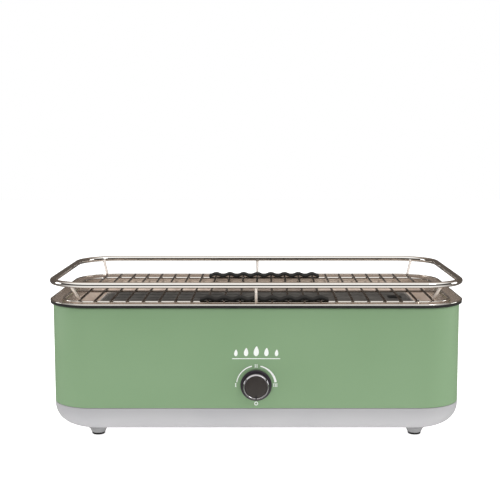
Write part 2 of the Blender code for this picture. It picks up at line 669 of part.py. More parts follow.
def add_air_path(root, steel):
    """Funnel from the fan to the bowl's air hole, and the heat shield round it."""
    low = FAN_TOP_Z + GAP
    top = BOWL_FLOOR_Z - SHEET - GAP
    duct = turned([(FAN_HOUSING_RADIUS - 1.0, low), (FAN_HOUSING_RADIUS, low),
                   (FAN_HOUSING_RADIUS, low + 3.0), (AIR_HOLE_RADIUS + 1.0, top - 2.0),
                   (AIR_HOLE_RADIUS + 1.0, top), (AIR_HOLE_RADIUS, top), (AIR_HOLE_RADIUS, top - 2.2),
                   (FAN_HOUSING_RADIUS - 1.0, low + 2.8)], 20)
    add_piece("air_duct", duct, steel, root)
    rings = [rounded_ring(162.0, 76.0, 20.0, z, 4) for z in (SHIELD_Z, SHIELD_Z + 1.0)]
    shield = add_piece("heat_shield", loft(rings), steel, root)
    holes = bmesh.new()
    rod_up(holes, (0.0, 0.0), 36.0, SHIELD_Z - 2.0, SHIELD_Z + 3.0, 20)
    for x in (-BOSS_X, BOSS_X):
        for y in (-BOSS_Y, BOSS_Y):
            rod_up(holes, (x, y), 2.0, SHIELD_Z - 2.0, SHIELD_Z + 3.0)
    combine(shield, holes, "DIFFERENCE")
    screw = [(0.0, -8.0), (1.5, -8.0), (1.5, 1.0 + GAP), (3.4, 1.0 + GAP), (3.4, 2.4), (2.2, 3.4),
             (0.0, 3.4)]
    number = 0
    for x in (-BOSS_X, BOSS_X):
        for y in (-BOSS_Y, BOSS_Y):
            number += 1
            add_piece(f"shield_screw_{number}", turned(screw, 10), steel, root, (x, y, SHIELD_Z))


def add_battery_bay(root, plastic, steel, jacket, door_pivot, door_plastic):
    low = TRAY_FLOOR_Z + GAP
    wall = 1.5
    outer = [(BAY_X - BAY_HALF_X, -BAY_HALF_Y), (BAY_X + BAY_HALF_X, BAY_HALF_Y)]
    bay = add_piece("battery_box", box((*outer[0], low), (*outer[1], BAY_TOP_Z)), plastic, root)
    hollow = box((outer[0][0] + wall, outer[0][1] + wall, low - 1.0),
                 (outer[1][0] - wall, outer[1][1] - wall, BAY_TOP_Z - wall))
    combine(bay, hollow, "DIFFERENCE")
    shape = [(0.0, 0.0), (BATTERY_RADIUS - 0.5, 0.0), (BATTERY_RADIUS, 0.6),
             (BATTERY_RADIUS, BATTERY_LENGTH - 2.0), (BATTERY_RADIUS - 0.6, BATTERY_LENGTH - 1.4),
             (2.8, BATTERY_LENGTH - 1.4), (2.8, BATTERY_LENGTH), (0.0, BATTERY_LENGTH)]
    for index in range(4):
        forward = 1 if index % 2 else -1
        place = (BAY_X - forward * BATTERY_LENGTH / 2, (index - 1.5) * BATTERY_PITCH, BATTERY_Z)
        cell = turned(shape, 12)
        add_piece(f"battery_{index + 1}", cell, jacket, root, place, (0.0, forward * math.pi / 2, 0.0))
    for side, label in ((-1, "left"), (1, "right")):
        wall_x = BAY_X + side * (BAY_HALF_X - wall - GAP)
        plate_x = wall_x - side * 0.8
        ends = sorted((wall_x, plate_x))
        plate = box((ends[0], -30.0, BATTERY_Z - 6.0), (ends[1], 30.0, BATTERY_Z + 6.0))
        contact = add_piece(f"battery_contact_{label}", plate, steel, root)
        studs = bmesh.new()
        for index in range(4):
            y = (index - 1.5) * BATTERY_PITCH
            tip = BAY_X + side * (BATTERY_LENGTH / 2 + GAP)
            rod((wall_x - side * 0.4, y, BATTERY_Z), (tip, y, BATTERY_Z), 2.4, 8, studs)
        combine(contact, studs, "UNION")
    panel = box((-36.0, -BAY_HALF_Y, 0.0), (36.0, BAY_HALF_Y, DOOR_THICKNESS))
    door = add_piece("battery_door", panel, door_plastic, door_pivot)
    grooves = bmesh.new()
    for index in range(5):
        x = 18.0 + index * 3.0
        box((x, -10.0, -1.0), (x + 1.4, 10.0, 0.7), grooves)
    combine(door, grooves, "DIFFERENCE")


def add_control(root, pivot, dark_plastic, chrome, steel, body_plastic):
    """Speed control on the front wall. Heights run forward from the casing's outer face."""
    face = (0.0, -BODY_HALF_Y, KNOB_Z)
    forward = (math.pi / 2, 0.0, 0.0)
    inner_face = -SHEET - GAP
    body = turned([(0.0, inner_face - 10.0), (8.5, inner_face - 10.0), (8.5, inner_face),
                   (4.2, inner_face), (4.2, 3.4), (3.3, 3.4), (3.3, inner_face - 6.0),
                   (0.0, inner_face - 6.0)], 20)
    add_piece("speed_control", body, body_plastic, root, face, forward)
    washer = turned([(4.6, GAP), (6.8, GAP), (6.8, 0.9), (4.6, 0.9)], 20)
    add_piece("control_washer", washer, steel, root, face, forward)
    hexagon = turned([(0.0, 1.2), (6.3, 1.2), (6.3, 3.0), (0.0, 3.0)], 6)
    nut = add_piece("control_nut", hexagon, steel, root, face, forward)
    thread = bmesh.new()
    rod_up(thread, (0.0, 0.0), 4.6, 0.0, 5.0, 20)
    combine(nut, thread, "DIFFERENCE")

    shaft_front = KNOB_HUB_FRONT - 1.6
    shaft = turned([(0.0, inner_face - 5.6), (3.0, inner_face - 5.6), (3.0, shaft_front),
                    (0.0, shaft_front)], 16)
    add_piece("control_shaft", shaft, steel, pivot)
    bore_front = shaft_front + GAP
    skirt = turned([(7.6, 0.8), (SKIRT_RADIUS - 0.6, 0.8), (SKIRT_RADIUS, 1.4), (SKIRT_RADIUS, 2.4),
                    (SKIRT_RADIUS - 0.6, 3.0), (KNOB_HUB_RADIUS, 3.2), (KNOB_HUB_RADIUS, KNOB_HUB_FRONT),
                    (0.0, KNOB_HUB_FRONT), (0.0, bore_front), (3.3, bore_front), (3.3, 4.2),
                    (7.6, 4.2)], 24)
    add_piece("knob_skirt", skirt, dark_plastic, pivot)
    low = KNOB_HUB_FRONT + GAP
    inner = KNOB_CAP_RADIUS + GAP
    ring = turned([(inner, low), (KNOB_HUB_RADIUS, low), (KNOB_HUB_RADIUS, low + 0.3),
                   (inner + 0.3, KNOB_FRONT), (inner, KNOB_FRONT - 0.2)], 24)
    ring_piece = add_piece("knob_ring", ring, chrome, pivot)
    cap = turned([(0.0, low), (KNOB_CAP_RADIUS, low), (KNOB_CAP_RADIUS, KNOB_FRONT - 0.6),
                  (KNOB_CAP_RADIUS - 0.6, KNOB_FRONT - 0.1), (0.0, KNOB_FRONT)], 24)
    cap_piece = add_piece("knob_cap", cap, dark_plastic, pivot)
    notch_low = KNOB_FRONT - 1.1
    for piece in (ring_piece, cap_piece):
        notch = box((-0.7, -KNOB_HUB_RADIUS - 1.0, notch_low), (0.7, -9.3, KNOB_FRONT + 1.0))
        combine(piece, notch, "DIFFERENCE")


def add_board_and_leads(root, board_green, copper_red):
    board = box((-118.0, -26.0, 22.0), (-72.0, 26.0, 23.6))
    piece = add_piece("control_board", board, board_green, root)
    parts = bmesh.new()
    for x, y, half, height in ((-106.0, -14.0, 5.0, 9.0), (-88.0, 8.0, 4.0, 6.0), (-104.0, 14.0, 6.0, 4.0)):
        box((x - half, y - half, 23.0), (x + half, y + half, 23.6 + height), parts)
    combine(piece, parts, "UNION")
    routes = {
        "lead_battery": [(-71.0, 18.0, 26.0), (-60.0, 30.0, 27.0), (-30.0, 54.0, 24.0),
                         (10.0, 56.0, 21.0), (44.0, 44.0, 24.0), (56.0, 24.0, 28.0),
                         (61.2, 14.0, 29.0)],
        "lead_motor": [(-71.0, 0.0, 26.0), (-62.0, -8.0, 23.0), (-50.0, -6.0, 20.0),
                       (-36.0, -2.0, 19.2), (-24.0, 0.0, 20.0), (-13.0, 0.0, 22.0)],
        "lead_control": [(-71.0, -18.0, 26.0), (-60.0, -36.0, 30.0), (-40.0, -62.0, 42.0),
                         (-18.0, -88.0, 54.0), (-4.0, -98.0, 61.0), (0.0, -105.0, 63.7)],
    }
    for name, points in routes.items():
        add_lead(name, points, copper_red, root)


def add_lead(name, points, material, root):
    """A thin lead swept along a smooth curve through its route points."""
    curve = bpy.data.curves.new(name, "CURVE")
    curve.dimensions = "3D"
    curve.bevel_depth = 1.1 * MM
    curve.bevel_resolution = 1
    curve.use_fill_caps = True
    curve.render_resolution_u = 0
    curve.materials.append(material)
    smooth = smooth_route([Vector(point) for point in points], 3)
    spline = curve.splines.new("POLY")
    spline.points.add(len(smooth) - 1)
    for target, point in zip(spline.points, smooth):
        target.co = (*(point * MM), 1.0)
    lead = bpy.data.objects.new(name, curve)
    bpy.context.scene.collection.objects.link(lead)
    lead.parent = root


def smooth_route(points, steps):
    """Catmull-Rom points through a route."""
    padded = [2 * points[0] - points[1]] + points + [2 * points[-1] - points[-2]]
    result = []
    for before, start, end, after in zip(padded, padded[1:], padded[2:], padded[3:]):
        for step in range(steps):
            t = step / steps
            result.append(0.5 * (2 * start + (end - before) * t
                                 + (2 * before - 5 * start + 4 * end - after) * t ** 2
                                 + (3 * start - before - 3 * end + after) * t ** 3))
    result.append(points[-1])
    return result


# ---------------------------------------------------------------- assembly

def main():
    clear_scene()
    paint = make_material("sage_powder_coat", (0.25, 0.38, 0.22), 0.5)
    grey = make_material("light_grey_plastic", (0.55, 0.55, 0.56), 0.45)
    dark = make_material("black_plastic", (0.03, 0.03, 0.033), 0.4)
    rubber = make_material("black_rubber", (0.015, 0.015, 0.015), 0.8)
    stainless = make_material("stainless_steel", (0.75, 0.74, 0.72), 0.18, 1.0)
    chrome = make_material("chromed_wire", (0.8, 0.8, 0.8), 0.08, 1.0)
    zinc = make_material("zinc_plated_steel", (0.6, 0.6, 0.58), 0.35, 1.0)
    iron = make_material("dark_enamel", (0.05, 0.05, 0.052), 0.55)
    jacket = make_material("battery_jacket", (0.1, 0.2, 0.45), 0.35)
    board = make_material("circuit_board", (0.03, 0.2, 0.08), 0.5)
    wire = make_material("lead_insulation", (0.4, 0.03, 0.02), 0.5)

    root = add_empty("grill_frame", (0.0, FRAME_SHIFT_Y, 0.0))
    fan_pivot = add_empty("fan_pivot", (0.0, 0.0, 35.0), root)
    knob_pivot = add_empty("knob_pivot", (0.0, -BODY_HALF_Y, KNOB_Z), root, (math.pi / 2, 0.0, 0.0))
    door_pivot = add_empty("door_pivot", (BAY_X, 0.0, DOOR_Z), root)

    add_casing(root, paint)
    add_base_tray(root, grey)
    add_feet(root, grey, rubber)
    add_casing_screws(root, zinc)
    add_bowl(root, stainless)
    add_rim_gasket(root, rubber)
    add_air_diffuser(root, zinc)
    add_charcoal_basket(root, zinc)
    add_basket_rim(root, stainless)
    add_basket_cover(root, iron)
    add_grate_grid(root, chrome)
    add_grate_rail(root, chrome)
    add_grips(root, rubber)
    add_fan(root, dark, zinc)
    add_impeller(fan_pivot, dark, zinc)
    add_air_path(root, zinc)
    add_battery_bay(root, dark, zinc, jacket, door_pivot, grey)
    add_control(root, knob_pivot, dark, chrome, zinc, dark)
    add_board_and_leads(root, board, wire)


main()
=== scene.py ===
"""The finished look of the table-top charcoal grill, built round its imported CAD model.

Lengths inside the shape functions are millimetres from the middle of the body, with +Z up and the
control knob towards -Y. The middle and the driving sizes are read from the CAD nodes.
"""
import math

import bmesh
import bpy
from mathutils import Matrix, Vector


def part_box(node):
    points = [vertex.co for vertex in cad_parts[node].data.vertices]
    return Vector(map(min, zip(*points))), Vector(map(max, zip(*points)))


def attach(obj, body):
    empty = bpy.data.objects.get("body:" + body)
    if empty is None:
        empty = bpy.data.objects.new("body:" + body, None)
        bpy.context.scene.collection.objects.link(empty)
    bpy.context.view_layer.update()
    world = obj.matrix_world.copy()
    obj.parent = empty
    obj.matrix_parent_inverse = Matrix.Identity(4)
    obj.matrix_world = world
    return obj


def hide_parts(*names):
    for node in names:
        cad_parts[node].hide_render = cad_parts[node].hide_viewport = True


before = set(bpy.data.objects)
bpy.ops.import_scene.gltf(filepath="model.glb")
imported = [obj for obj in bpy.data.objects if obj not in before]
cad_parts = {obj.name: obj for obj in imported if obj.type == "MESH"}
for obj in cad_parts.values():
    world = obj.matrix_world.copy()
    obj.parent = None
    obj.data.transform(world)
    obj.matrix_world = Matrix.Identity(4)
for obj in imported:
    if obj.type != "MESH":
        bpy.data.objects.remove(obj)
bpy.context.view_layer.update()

MM = 0.001
RING_STEPS = 24                # facets in each corner of a rounded rectangle
ROUND = 64                     # facets round a turned piece
FOLD_ANGLE = math.radians(35)  # a steeper fold between faces is shaded as an edge


# ---------------------------------------------------------------- places, from the CAD nodes

def node_span(node):
    """Lowest and highest corner of a CAD node, in millimetres from the middle of the body."""
    low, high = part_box(node)
    return (low - MIDDLE) / MM, (high - MIDDLE) / MM


rail_low, rail_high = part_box("grate_rail")
MIDDLE = Vector(((rail_low.x + rail_high.x) / 2, (rail_low.y + rail_high.y) / 2, 0.0))

_, RAIL_HIGH = node_span("grate_rail")
CASING_LOW, CASING_HIGH = node_span("casing")
_, TRAY_HIGH = node_span("base_tray")
BOWL_LOW, BOWL_HIGH = node_span("bowl")
_, GRID_HIGH = node_span("grate_grid")
COVER_LOW, COVER_HIGH = node_span("basket_cover")
BASKET_LOW, BASKET_HIGH = node_span("charcoal_basket")
BASKET_RIM_LOW, BASKET_RIM_HIGH = node_span("basket_rim")
GASKET_LOW, GASKET_HIGH = node_span("rim_gasket")
DOOR_LOW, DOOR_HIGH = node_span("battery_door")
SKIRT_LOW, SKIRT_HIGH = node_span("knob_skirt")

RIM_HALF_X = RAIL_HIGH.x
RIM_HALF_Y = RAIL_HIGH.y
RIM_RADIUS = 50.0              # plan corner of the rail and of the bowl's bead
RIM_TOP = BOWL_HIGH.z
BODY_HALF_X = CASING_HIGH.x
BODY_HALF_Y = CASING_HIGH.y
BODY_RADIUS = RIM_RADIUS - (RIM_HALF_X - BODY_HALF_X)
KNOB_FACE_Y = -BODY_HALF_Y
KNOB_Z = (SKIRT_LOW.z + SKIRT_HIGH.z) / 2
DOOR_MIDDLE_X = (DOOR_LOW.x + DOOR_HIGH.x) / 2


# ---------------------------------------------------------------- sizes that the boxes don't give

SHEET = 1.2                    # thickness of pressed and folded sheet
GAP = 0.3                      # clearance between neighbouring pieces
BEAD = 0.95                    # radius of the bowl's rolled edge
WIRE = 1.25                    # radius of the grate's straight wires
EDGE_BAR = 1.7                 # radius of the bar bent round the grate's edge
RAIL_BAR = 3.3                 # radius of the carrying rail
POST_BAR = 1.55                # radius of the rail's posts
WIRE_PITCH = 17.6
WIRES_EACH_SIDE = 11
WIRE_TOP = GRID_HIGH.z - 1.55  # the peg stands this much over the cross wires
TRAY_BOTTOM = DOOR_HIGH.z + GAP
FLOOR_Z = BOWL_LOW.z + SHEET   # upper face of the bowl's floor
BASKET_FLOOR = BASKET_LOW.z + 7.9


# ---------------------------------------------------------------- camera and studio settings

CAMERA_PLACE = (7.7, -1181.0, 332.5)
CAMERA_PITCH = 0.1129          # radians below level
CAMERA_SHIFT_X = -0.0265
CAMERA_SENSOR = 36.0
CAMERA_FOCAL_SHARE = 2.0       # focal length over the sensor's width

FLOOR_HALF_SIDE = 4.0          # metres
FLOOR_GLOW = 0.82
AMBIENT = 0.44                 # grey that lights matt faces from every side
KEY_POWER = 6.0                # watts
TOP_POWER = 13.0
FILL_POWER = 4.0

# What bright metal reflects in front and behind, from straight down at 0 to straight up at 1
STUDIO_FRONT = [(0.0, (1.3, 1.28, 1.26)), (0.12, (1.2, 1.18, 1.16)), (0.29, (0.7, 0.68, 0.66)),
                (0.43, (0.05, 0.045, 0.04)), (0.7, (0.05, 0.045, 0.04)), (0.77, (1.4, 1.39, 1.38)),
                (0.94, (1.35, 1.34, 1.33)), (1.0, (1.0, 0.98, 0.96))]
STUDIO_BACK = [(0.0, (0.3, 0.27, 0.24)), (0.4, (0.13, 0.113, 0.1)), (0.66, (0.12, 0.1, 0.084)),
               (0.82, (0.22, 0.175, 0.145)), (0.95, (0.6, 0.52, 0.45)), (1.0, (0.8, 0.74, 0.69))]


# ---------------------------------------------------------------- mesh helpers

def rounded_ring(half_x, half_y, radius, z, steps=RING_STEPS):
    """Points of a rounded rectangle, anticlockwise seen from above."""
    points = []
    for quadrant, (side_x, side_y) in enumerate(((1, 1), (-1, 1), (-1, -1), (1, -1))):
        for step in range(steps + 1):
            angle = (quadrant + step / steps) * math.pi / 2
            x = side_x * (half_x - radius) + radius * math.cos(angle)
            y = side_y * (half_y - radius) + radius * math.sin(angle)
            points.append(Vector((x, y, z)))
    return points


def skin(rings, closed=False):
    """Join rings of equal length into a surface, capped at its ends or closed on itself."""
    bm = bmesh.new()
    rows = [[bm.verts.new(Vector(point) * MM) for point in ring] for ring in rings]
    following = rows[1:] + rows[:1] if closed else rows[1:]
    for row, next_row in zip(rows, following):
        for index in range(len(row)):
            after = (index + 1) % len(row)
            bm.faces.new((row[index], row[after], next_row[after], next_row[index]))
    if not closed:
        bm.faces.new(rows[0])
        bm.faces.new(rows[-1])
    bmesh.ops.recalc_face_normals(bm, faces=bm.faces)
    return bm


def fillet_path(points, radii, steps=6, closed=False):
    """A flat path of (a, b) points with each inner corner rounded to its radius."""
    count = len(points)
    result = []
    for index, corner in enumerate(points):
        radius = radii[index] if index < len(radii) else 0.0
        corner = Vector(corner)
        if radius <= 0.0 or (not closed and index in (0, count - 1)):
            result.append(tuple(corner))
            continue
        before = Vector(points[index - 1]) - corner
        after = Vector(points[(index + 1) % count]) - corner
        turn = before.angle(after)
        if turn > math.pi - 0.02:
            result.append(tuple(corner))
            continue
        reach = min(radius / math.tan(turn / 2), 0.48 * before.length, 0.48 * after.length)
        radius = reach * math.tan(turn / 2)
        bisector = (before.normalized() + after.normalized()).normalized()
        center = corner + bisector * (radius / math.sin(turn / 2))
        start = corner + before.normalized() * reach - center
        end = corner + after.normalized() * reach - center
        sweep = start.angle_signed(end)
        for step in range(steps + 1):
            part = start.copy()
            part.rotate(Matrix.Rotation(-sweep * step / steps, 2))
            result.append(tuple(center + part))
    return result


def turned(profile, segments=ROUND):
    """Spin a profile of (radius, height) about Z. It closes on itself, or ends on the axis."""
    bm = bmesh.new()
    rings = []
    for radius, height in profile:
        angles = [math.tau * step / segments for step in range(segments)] if radius > 0.0 else [0.0]
        rings.append([bm.verts.new(Vector((max(radius, 0.0) * math.cos(angle),
                                           max(radius, 0.0) * math.sin(angle), height)) * MM)
                      for angle in angles])
    following = rings[1:] + rings[:1] if profile[0][0] > 0.0 else rings[1:]
    for ring, next_ring in zip(rings, following):
        for step in range(segments):
            after = (step + 1) % segments
            corners = (ring[step % len(ring)], ring[after % len(ring)],
                       next_ring[after % len(next_ring)], next_ring[step % len(next_ring)])
            corners = list(dict.fromkeys(corners))     # a corner on the axis is there twice
            if len(corners) > 2:
                bm.faces.new(corners)
    bmesh.ops.recalc_face_normals(bm, faces=bm.faces)
    return bm


def plug(radius, low, high, segments=ROUND):
    """A plain disc about Z, for cutting a round hole."""
    return turned([(0.0, low), (radius, low), (radius, high), (0.0, high)], segments)


def join_into(bm, part, matrix=None):
    """Move a bmesh's geometry into another and free it."""
    if matrix is not None:
        bmesh.ops.transform(part, verts=part.verts, matrix=matrix)
    mesh = bpy.data.meshes.new("transfer")
    part.to_mesh(mesh)
    part.free()
    bm.from_mesh(mesh)
    bpy.data.meshes.remove(mesh)


def tube(points, radius, sides=16, closed=False, round_ends=True):
    """A round bar swept along points, with domed ends."""
    points = [Vector(point) for point in points]
    count = len(points)
    rings = []
    previous_up = None
    for index, point in enumerate(points):
        before = points[index - 1] if closed or index > 0 else point
        after = points[(index + 1) % count] if closed or index < count - 1 else point
        along = (after - before).normalized()
        up = Vector((0.0, 0.0, 1.0)) if previous_up is None else previous_up
        if abs(along.dot(up)) > 0.95:
            up = Vector((0.0, 1.0, 0.0))
        across = along.cross(up).normalized()
        up = across.cross(along)
        previous_up = up
        if not closed and round_ends and index in (0, count - 1):
            sign = -1 if index == 0 else 1
            domes = []
            for step in (3, 2, 1):
                angle = math.radians(step * 25)
                center = point + along * (sign * radius * math.sin(angle) * 0.8)
                domes.append(circle(center, across, up, radius * math.cos(angle), sides))
            if index == 0:
                rings += domes + [circle(point, across, up, radius, sides)]
            else:
                rings += [circle(point, across, up, radius, sides)] + domes[::-1]
        else:
            rings.append(circle(point, across, up, radius, sides))
    return skin(rings, closed=closed)


def circle(center, across, up, radius, sides):
    """Points round a centre, in the plane of two directions."""
    return [center + across * radius * math.cos(math.tau * side / sides)
            + up * radius * math.sin(math.tau * side / sides) for side in range(sides)]


def box(low, high):
    """A plain block between two corners, for cutting."""
    bm = bmesh.new()
    bmesh.ops.create_cube(bm, size=1.0)
    low = Vector(low)
    high = Vector(high)
    for vert in bm.verts:
        vert.co = Vector([(low[axis] + high[axis]) / 2 + vert.co[axis] * (high[axis] - low[axis])
                          for axis in range(3)]) * MM
    return bm


def rounded_prism(center, half_x, half_y, radius, low, high, steps=6):
    """An upright block with rounded corners in plan."""
    rings = []
    for z in (low, high):
        rings.append([point + Vector((center[0], center[1], 0.0))
                      for point in rounded_ring(half_x, half_y, radius, z, steps)])
    return skin(rings)


# ---------------------------------------------------------------- piece helpers

def add_piece(name, bm, material, body, replaces=(), place=(0.0, 0.0, 0.0),
              rotation=None):
    """Turn a bmesh into a piece that rides on a body and stands for CAD nodes."""
    mesh = bpy.data.meshes.new(name)
    bm.to_mesh(mesh)
    bm.free()
    mesh.shade_smooth()
    mesh.set_sharp_from_angle(angle=FOLD_ANGLE)
    mesh.materials.append(material)
    piece = bpy.data.objects.new(name, mesh)
    bpy.context.scene.collection.objects.link(piece)
    piece.location = MIDDLE + Vector(place) * MM
    if rotation is not None:
        piece.rotation_euler = rotation
    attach(piece, body)
    if replaces:
        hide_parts(*replaces)
    return piece


def combine(piece, tool_bm, operation):
    """Cut a tool shape from a piece, or weld it on, and apply the result."""
    bpy.context.view_layer.update()
    mesh = bpy.data.meshes.new("tool")
    tool_bm.to_mesh(mesh)
    tool_bm.free()
    tool = bpy.data.objects.new("tool", mesh)
    bpy.context.scene.collection.objects.link(tool)
    tool.matrix_world = piece.matrix_world
    bpy.context.view_layer.update()
    modifier = piece.modifiers.new("combine", "BOOLEAN")
    modifier.operation = operation
    modifier.solver = "EXACT"
    modifier.object = tool
    bpy.context.view_layer.update()
    evaluated = piece.evaluated_get(bpy.context.evaluated_depsgraph_get())
    result = bpy.data.meshes.new_from_object(evaluated)
    piece.modifiers.remove(modifier)
    old = piece.data
    piece.data = result
    result.name = old.name
    bpy.data.meshes.remove(old)
    bpy.data.objects.remove(tool, do_unlink=True)
    bpy.data.meshes.remove(mesh)
    piece.data.shade_smooth()
    piece.data.set_sharp_from_angle(angle=FOLD_ANGLE)


# ---------------------------------------------------------------- materials

def srgb(red, green, blue):
    """Linear colour from 0-255 values."""
    linear = []
    for value in (red, green, blue):
        share = value / 255
        linear.append(share / 12.92 if share <= 0.04045 else ((share + 0.055) / 1.055) ** 2.4)
    return (*linear, 1.0)


class Look:
    """A Principled material with helpers for procedural colour, roughness and relief."""

    def __init__(self, name, color, roughness, metallic=0.0, **sockets):
        self.material = bpy.data.materials.new(name)
        self.material.use_nodes = True
        self.nodes = self.material.node_tree.nodes
        self.links = self.material.node_tree.links
        self.shader = self.nodes["Principled BSDF"]
        self.shader.inputs["Base Color"].default_value = color
        self.shader.inputs["Roughness"].default_value = roughness
        self.shader.inputs["Metallic"].default_value = metallic
        for socket, value in sockets.items():
            self.shader.inputs[socket.replace("_", " ")].default_value = value
        self.coordinates = self.nodes.new("ShaderNodeTexCoord").outputs["Object"]
        self.relief = None

    def scaled(self, scale):
        """Object coordinates stretched by a factor on each axis."""
        mapping = self.nodes.new("ShaderNodeMapping")
        mapping.inputs["Scale"].default_value = scale
        self.links.new(self.coordinates, mapping.inputs["Vector"])
        return mapping.outputs["Vector"]

    def noise(self, scale, detail, stretch=None):
        """Cloudy values from 0 to 1; a larger scale makes them finer."""
        node = self.nodes.new("ShaderNodeTexNoise")
        node.inputs["Scale"].default_value = scale
        node.inputs["Detail"].default_value = detail
        source = self.coordinates if stretch is None else self.scaled(stretch)
        self.links.new(source, node.inputs["Vector"])
        return node.outputs["Fac"]

    def spread(self, source, low, high, start=0.3, end=0.7):
        """Map a texture's values onto a range."""
        node = self.nodes.new("ShaderNodeMapRange")
        node.inputs["From Min"].default_value = start
        node.inputs["From Max"].default_value = end
        node.inputs["To Min"].default_value = low
        node.inputs["To Max"].default_value = high
        self.links.new(source, node.inputs["Value"])
        return node.outputs["Result"]

    def vary_color(self, source, first, second):
        """Run the colour from one to another as a texture's values rise from 0 to 1."""
        node = self.nodes.new("ShaderNodeMix")
        node.data_type = "RGBA"
        node.inputs["A"].default_value = first
        node.inputs["B"].default_value = second
        self.links.new(source, node.inputs["Factor"])
        self.links.new(node.outputs["Result"], self.shader.inputs["Base Color"])

    def mottle(self, scale, detail, first, second):
        """Vary the colour in soft patches between two 0-255 colours."""
        self.vary_color(self.spread(self.noise(scale, detail), 0.0, 1.0), srgb(*first), srgb(*second))

    def vary_roughness(self, source, low, high):
        """Run the roughness over a range with a texture's values."""
        self.links.new(self.spread(source, low, high), self.shader.inputs["Roughness"])

    def bump(self, source, height, strength):
        """Add relief of a height in millimetres on top of any already there."""
        node = self.nodes.new("ShaderNodeBump")
        node.inputs["Strength"].default_value = strength
        node.inputs["Distance"].default_value = height * MM
        self.links.new(source, node.inputs["Height"])
        if self.relief is not None:
            self.links.new(self.relief, node.inputs["Normal"])
        self.links.new(node.outputs["Normal"], self.shader.inputs["Normal"])
        self.relief = node.outputs["Normal"]


def make_powder_coat():
    look = Look("sage_powder_coat", srgb(129, 159, 121), 0.5, Specular_IOR_Level=0.35)
    look.mottle(9.0, 2.0, (128, 159, 120), (132, 162, 124))
    look.vary_roughness(look.noise(420.0, 2.0), 0.44, 0.56)
    look.bump(look.noise(1400.0, 3.0), 0.02, 0.5)
    return look.material


def make_tray_plastic():
    look = Look("light_grey_plastic", srgb(176, 175, 176), 0.5)
    look.mottle(14.0, 2.0, (176, 175, 178), (181, 180, 182))
    look.vary_roughness(look.noise(300.0, 2.0), 0.42, 0.55)
    look.bump(look.noise(2600.0, 2.0), 0.012, 0.5)
    return look.material


def make_foot_plastic():
    look = Look("grey_foot_plastic", srgb(140, 140, 141), 0.42)
    look.mottle(60.0, 2.0, (140, 140, 141), (149, 149, 150))
    look.bump(look.noise(2200.0, 2.0), 0.012, 0.5)
    return look.material


def make_rubber(name, shade):
    look = Look(name, srgb(shade, shade, shade), 0.75)
    look.mottle(120.0, 2.0, (shade, shade, shade), (shade + 10, shade + 10, shade + 9))
    look.bump(look.noise(1800.0, 3.0), 0.03, 0.6)
    return look.material


def make_sheet_steel(name, color, first, second, metallic, roughness, low, high):
    """Drawn stainless sheet with faint scratches along its length."""
    look = Look(name, srgb(*color), roughness, metallic)
    look.mottle(16.0, 3.0, first, second)
    look.vary_roughness(look.noise(30.0, 3.0, (1.0, 1.0, 4.0)), low, high)
    look.bump(look.noise(900.0, 2.0, (0.05, 1.0, 1.0)), 0.004, 0.4)
    return look.material


def make_polished_stainless():
    return make_sheet_steel("polished_stainless", (228, 212, 198), (234, 219, 206), (216, 197, 181),
                            0.7, 0.2, 0.14, 0.25)


# Rougher, paler, less metallic stainless for the bowl's wall and floor: its pale colour is a painted bright
# reflection.
def make_bright_reflection_stainless():
    return make_sheet_steel("stainless_painted_bright_reflection", (236, 216, 200), (242, 223, 208), (226, 204, 187),
                            0.35, 0.34, 0.28, 0.4)


def make_chrome(name, tint=(228, 226, 222)):
    look = Look(name, srgb(*tint), 0.04, 1.0)
    look.vary_roughness(look.noise(240.0, 3.0), 0.02, 0.07)
    look.bump(look.noise(500.0, 2.0), 0.002, 0.3)
    return look.material


# Wire whose colour stands in for what it reflects: a painted dark reflection on the cross wires, a painted
# bright reflection on the posts and basket rim.
def make_reflection_painted_wire(name, color, first, second, metallic, roughness, low, high):
    look = Look(name, srgb(*color), roughness, metallic)
    look.mottle(60.0, 3.0, first, second)
    look.vary_roughness(look.noise(240.0, 3.0), low, high)
    look.bump(look.noise(900.0, 2.0), 0.004, 0.4)
    return look.material


# Brown-grey chrome for the cross wires: the dark colour is a painted dark reflection.
def make_dark_reflection_wire():
    return make_reflection_painted_wire("chromed_wire_painted_dark_reflection", (122, 113, 106), (124, 115, 108), (110, 101, 94),
                             1.0, 0.22, 0.18, 0.30)


# Near-white, less metallic steel for the rail's posts and the basket rim: a painted bright reflection.
def make_bright_reflection_wire():
    return make_reflection_painted_wire("wire_painted_bright_reflection", (244, 237, 229), (247, 240, 233), (236, 224, 213),
                             0.3, 0.3, 0.24, 0.36)


def make_coated_steel(name, first, second, roughness=0.4):
    look = Look(name, srgb(*first), roughness, 1.0)
    look.mottle(24.0, 5.0, first, second)
    look.vary_roughness(look.noise(90.0, 4.0), roughness - 0.1, roughness + 0.15)
    look.bump(look.noise(700.0, 2.0), 0.01, 0.4)
    return look.material


def make_enamel():
    look = Look("dark_cast_enamel", srgb(74, 73, 71), 0.5, Specular_IOR_Level=0.3)
    look.mottle(40.0, 4.0, (74, 73, 71), (94, 92, 89))
    look.vary_roughness(look.noise(200.0, 3.0), 0.4, 0.62)
    look.bump(look.noise(650.0, 3.0), 0.06, 0.6)
    return look.material


def make_dark_plastic(name, color, roughness=0.38):
    look = Look(name, srgb(*color), roughness)
    look.mottle(80.0, 2.0, color, [value + 6 for value in color])
    look.vary_roughness(look.noise(400.0, 2.0), roughness - 0.06, roughness + 0.08)
    look.bump(look.noise(3000.0, 2.0), 0.008, 0.5)
    return look.material


def make_print():
    look = Look("white_print", srgb(244, 246, 243), 0.45)
    look.mottle(900.0, 2.0, (240, 243, 239), (250, 251, 249))
    look.bump(look.noise(1500.0, 2.0), 0.006, 0.4)
    return look.material


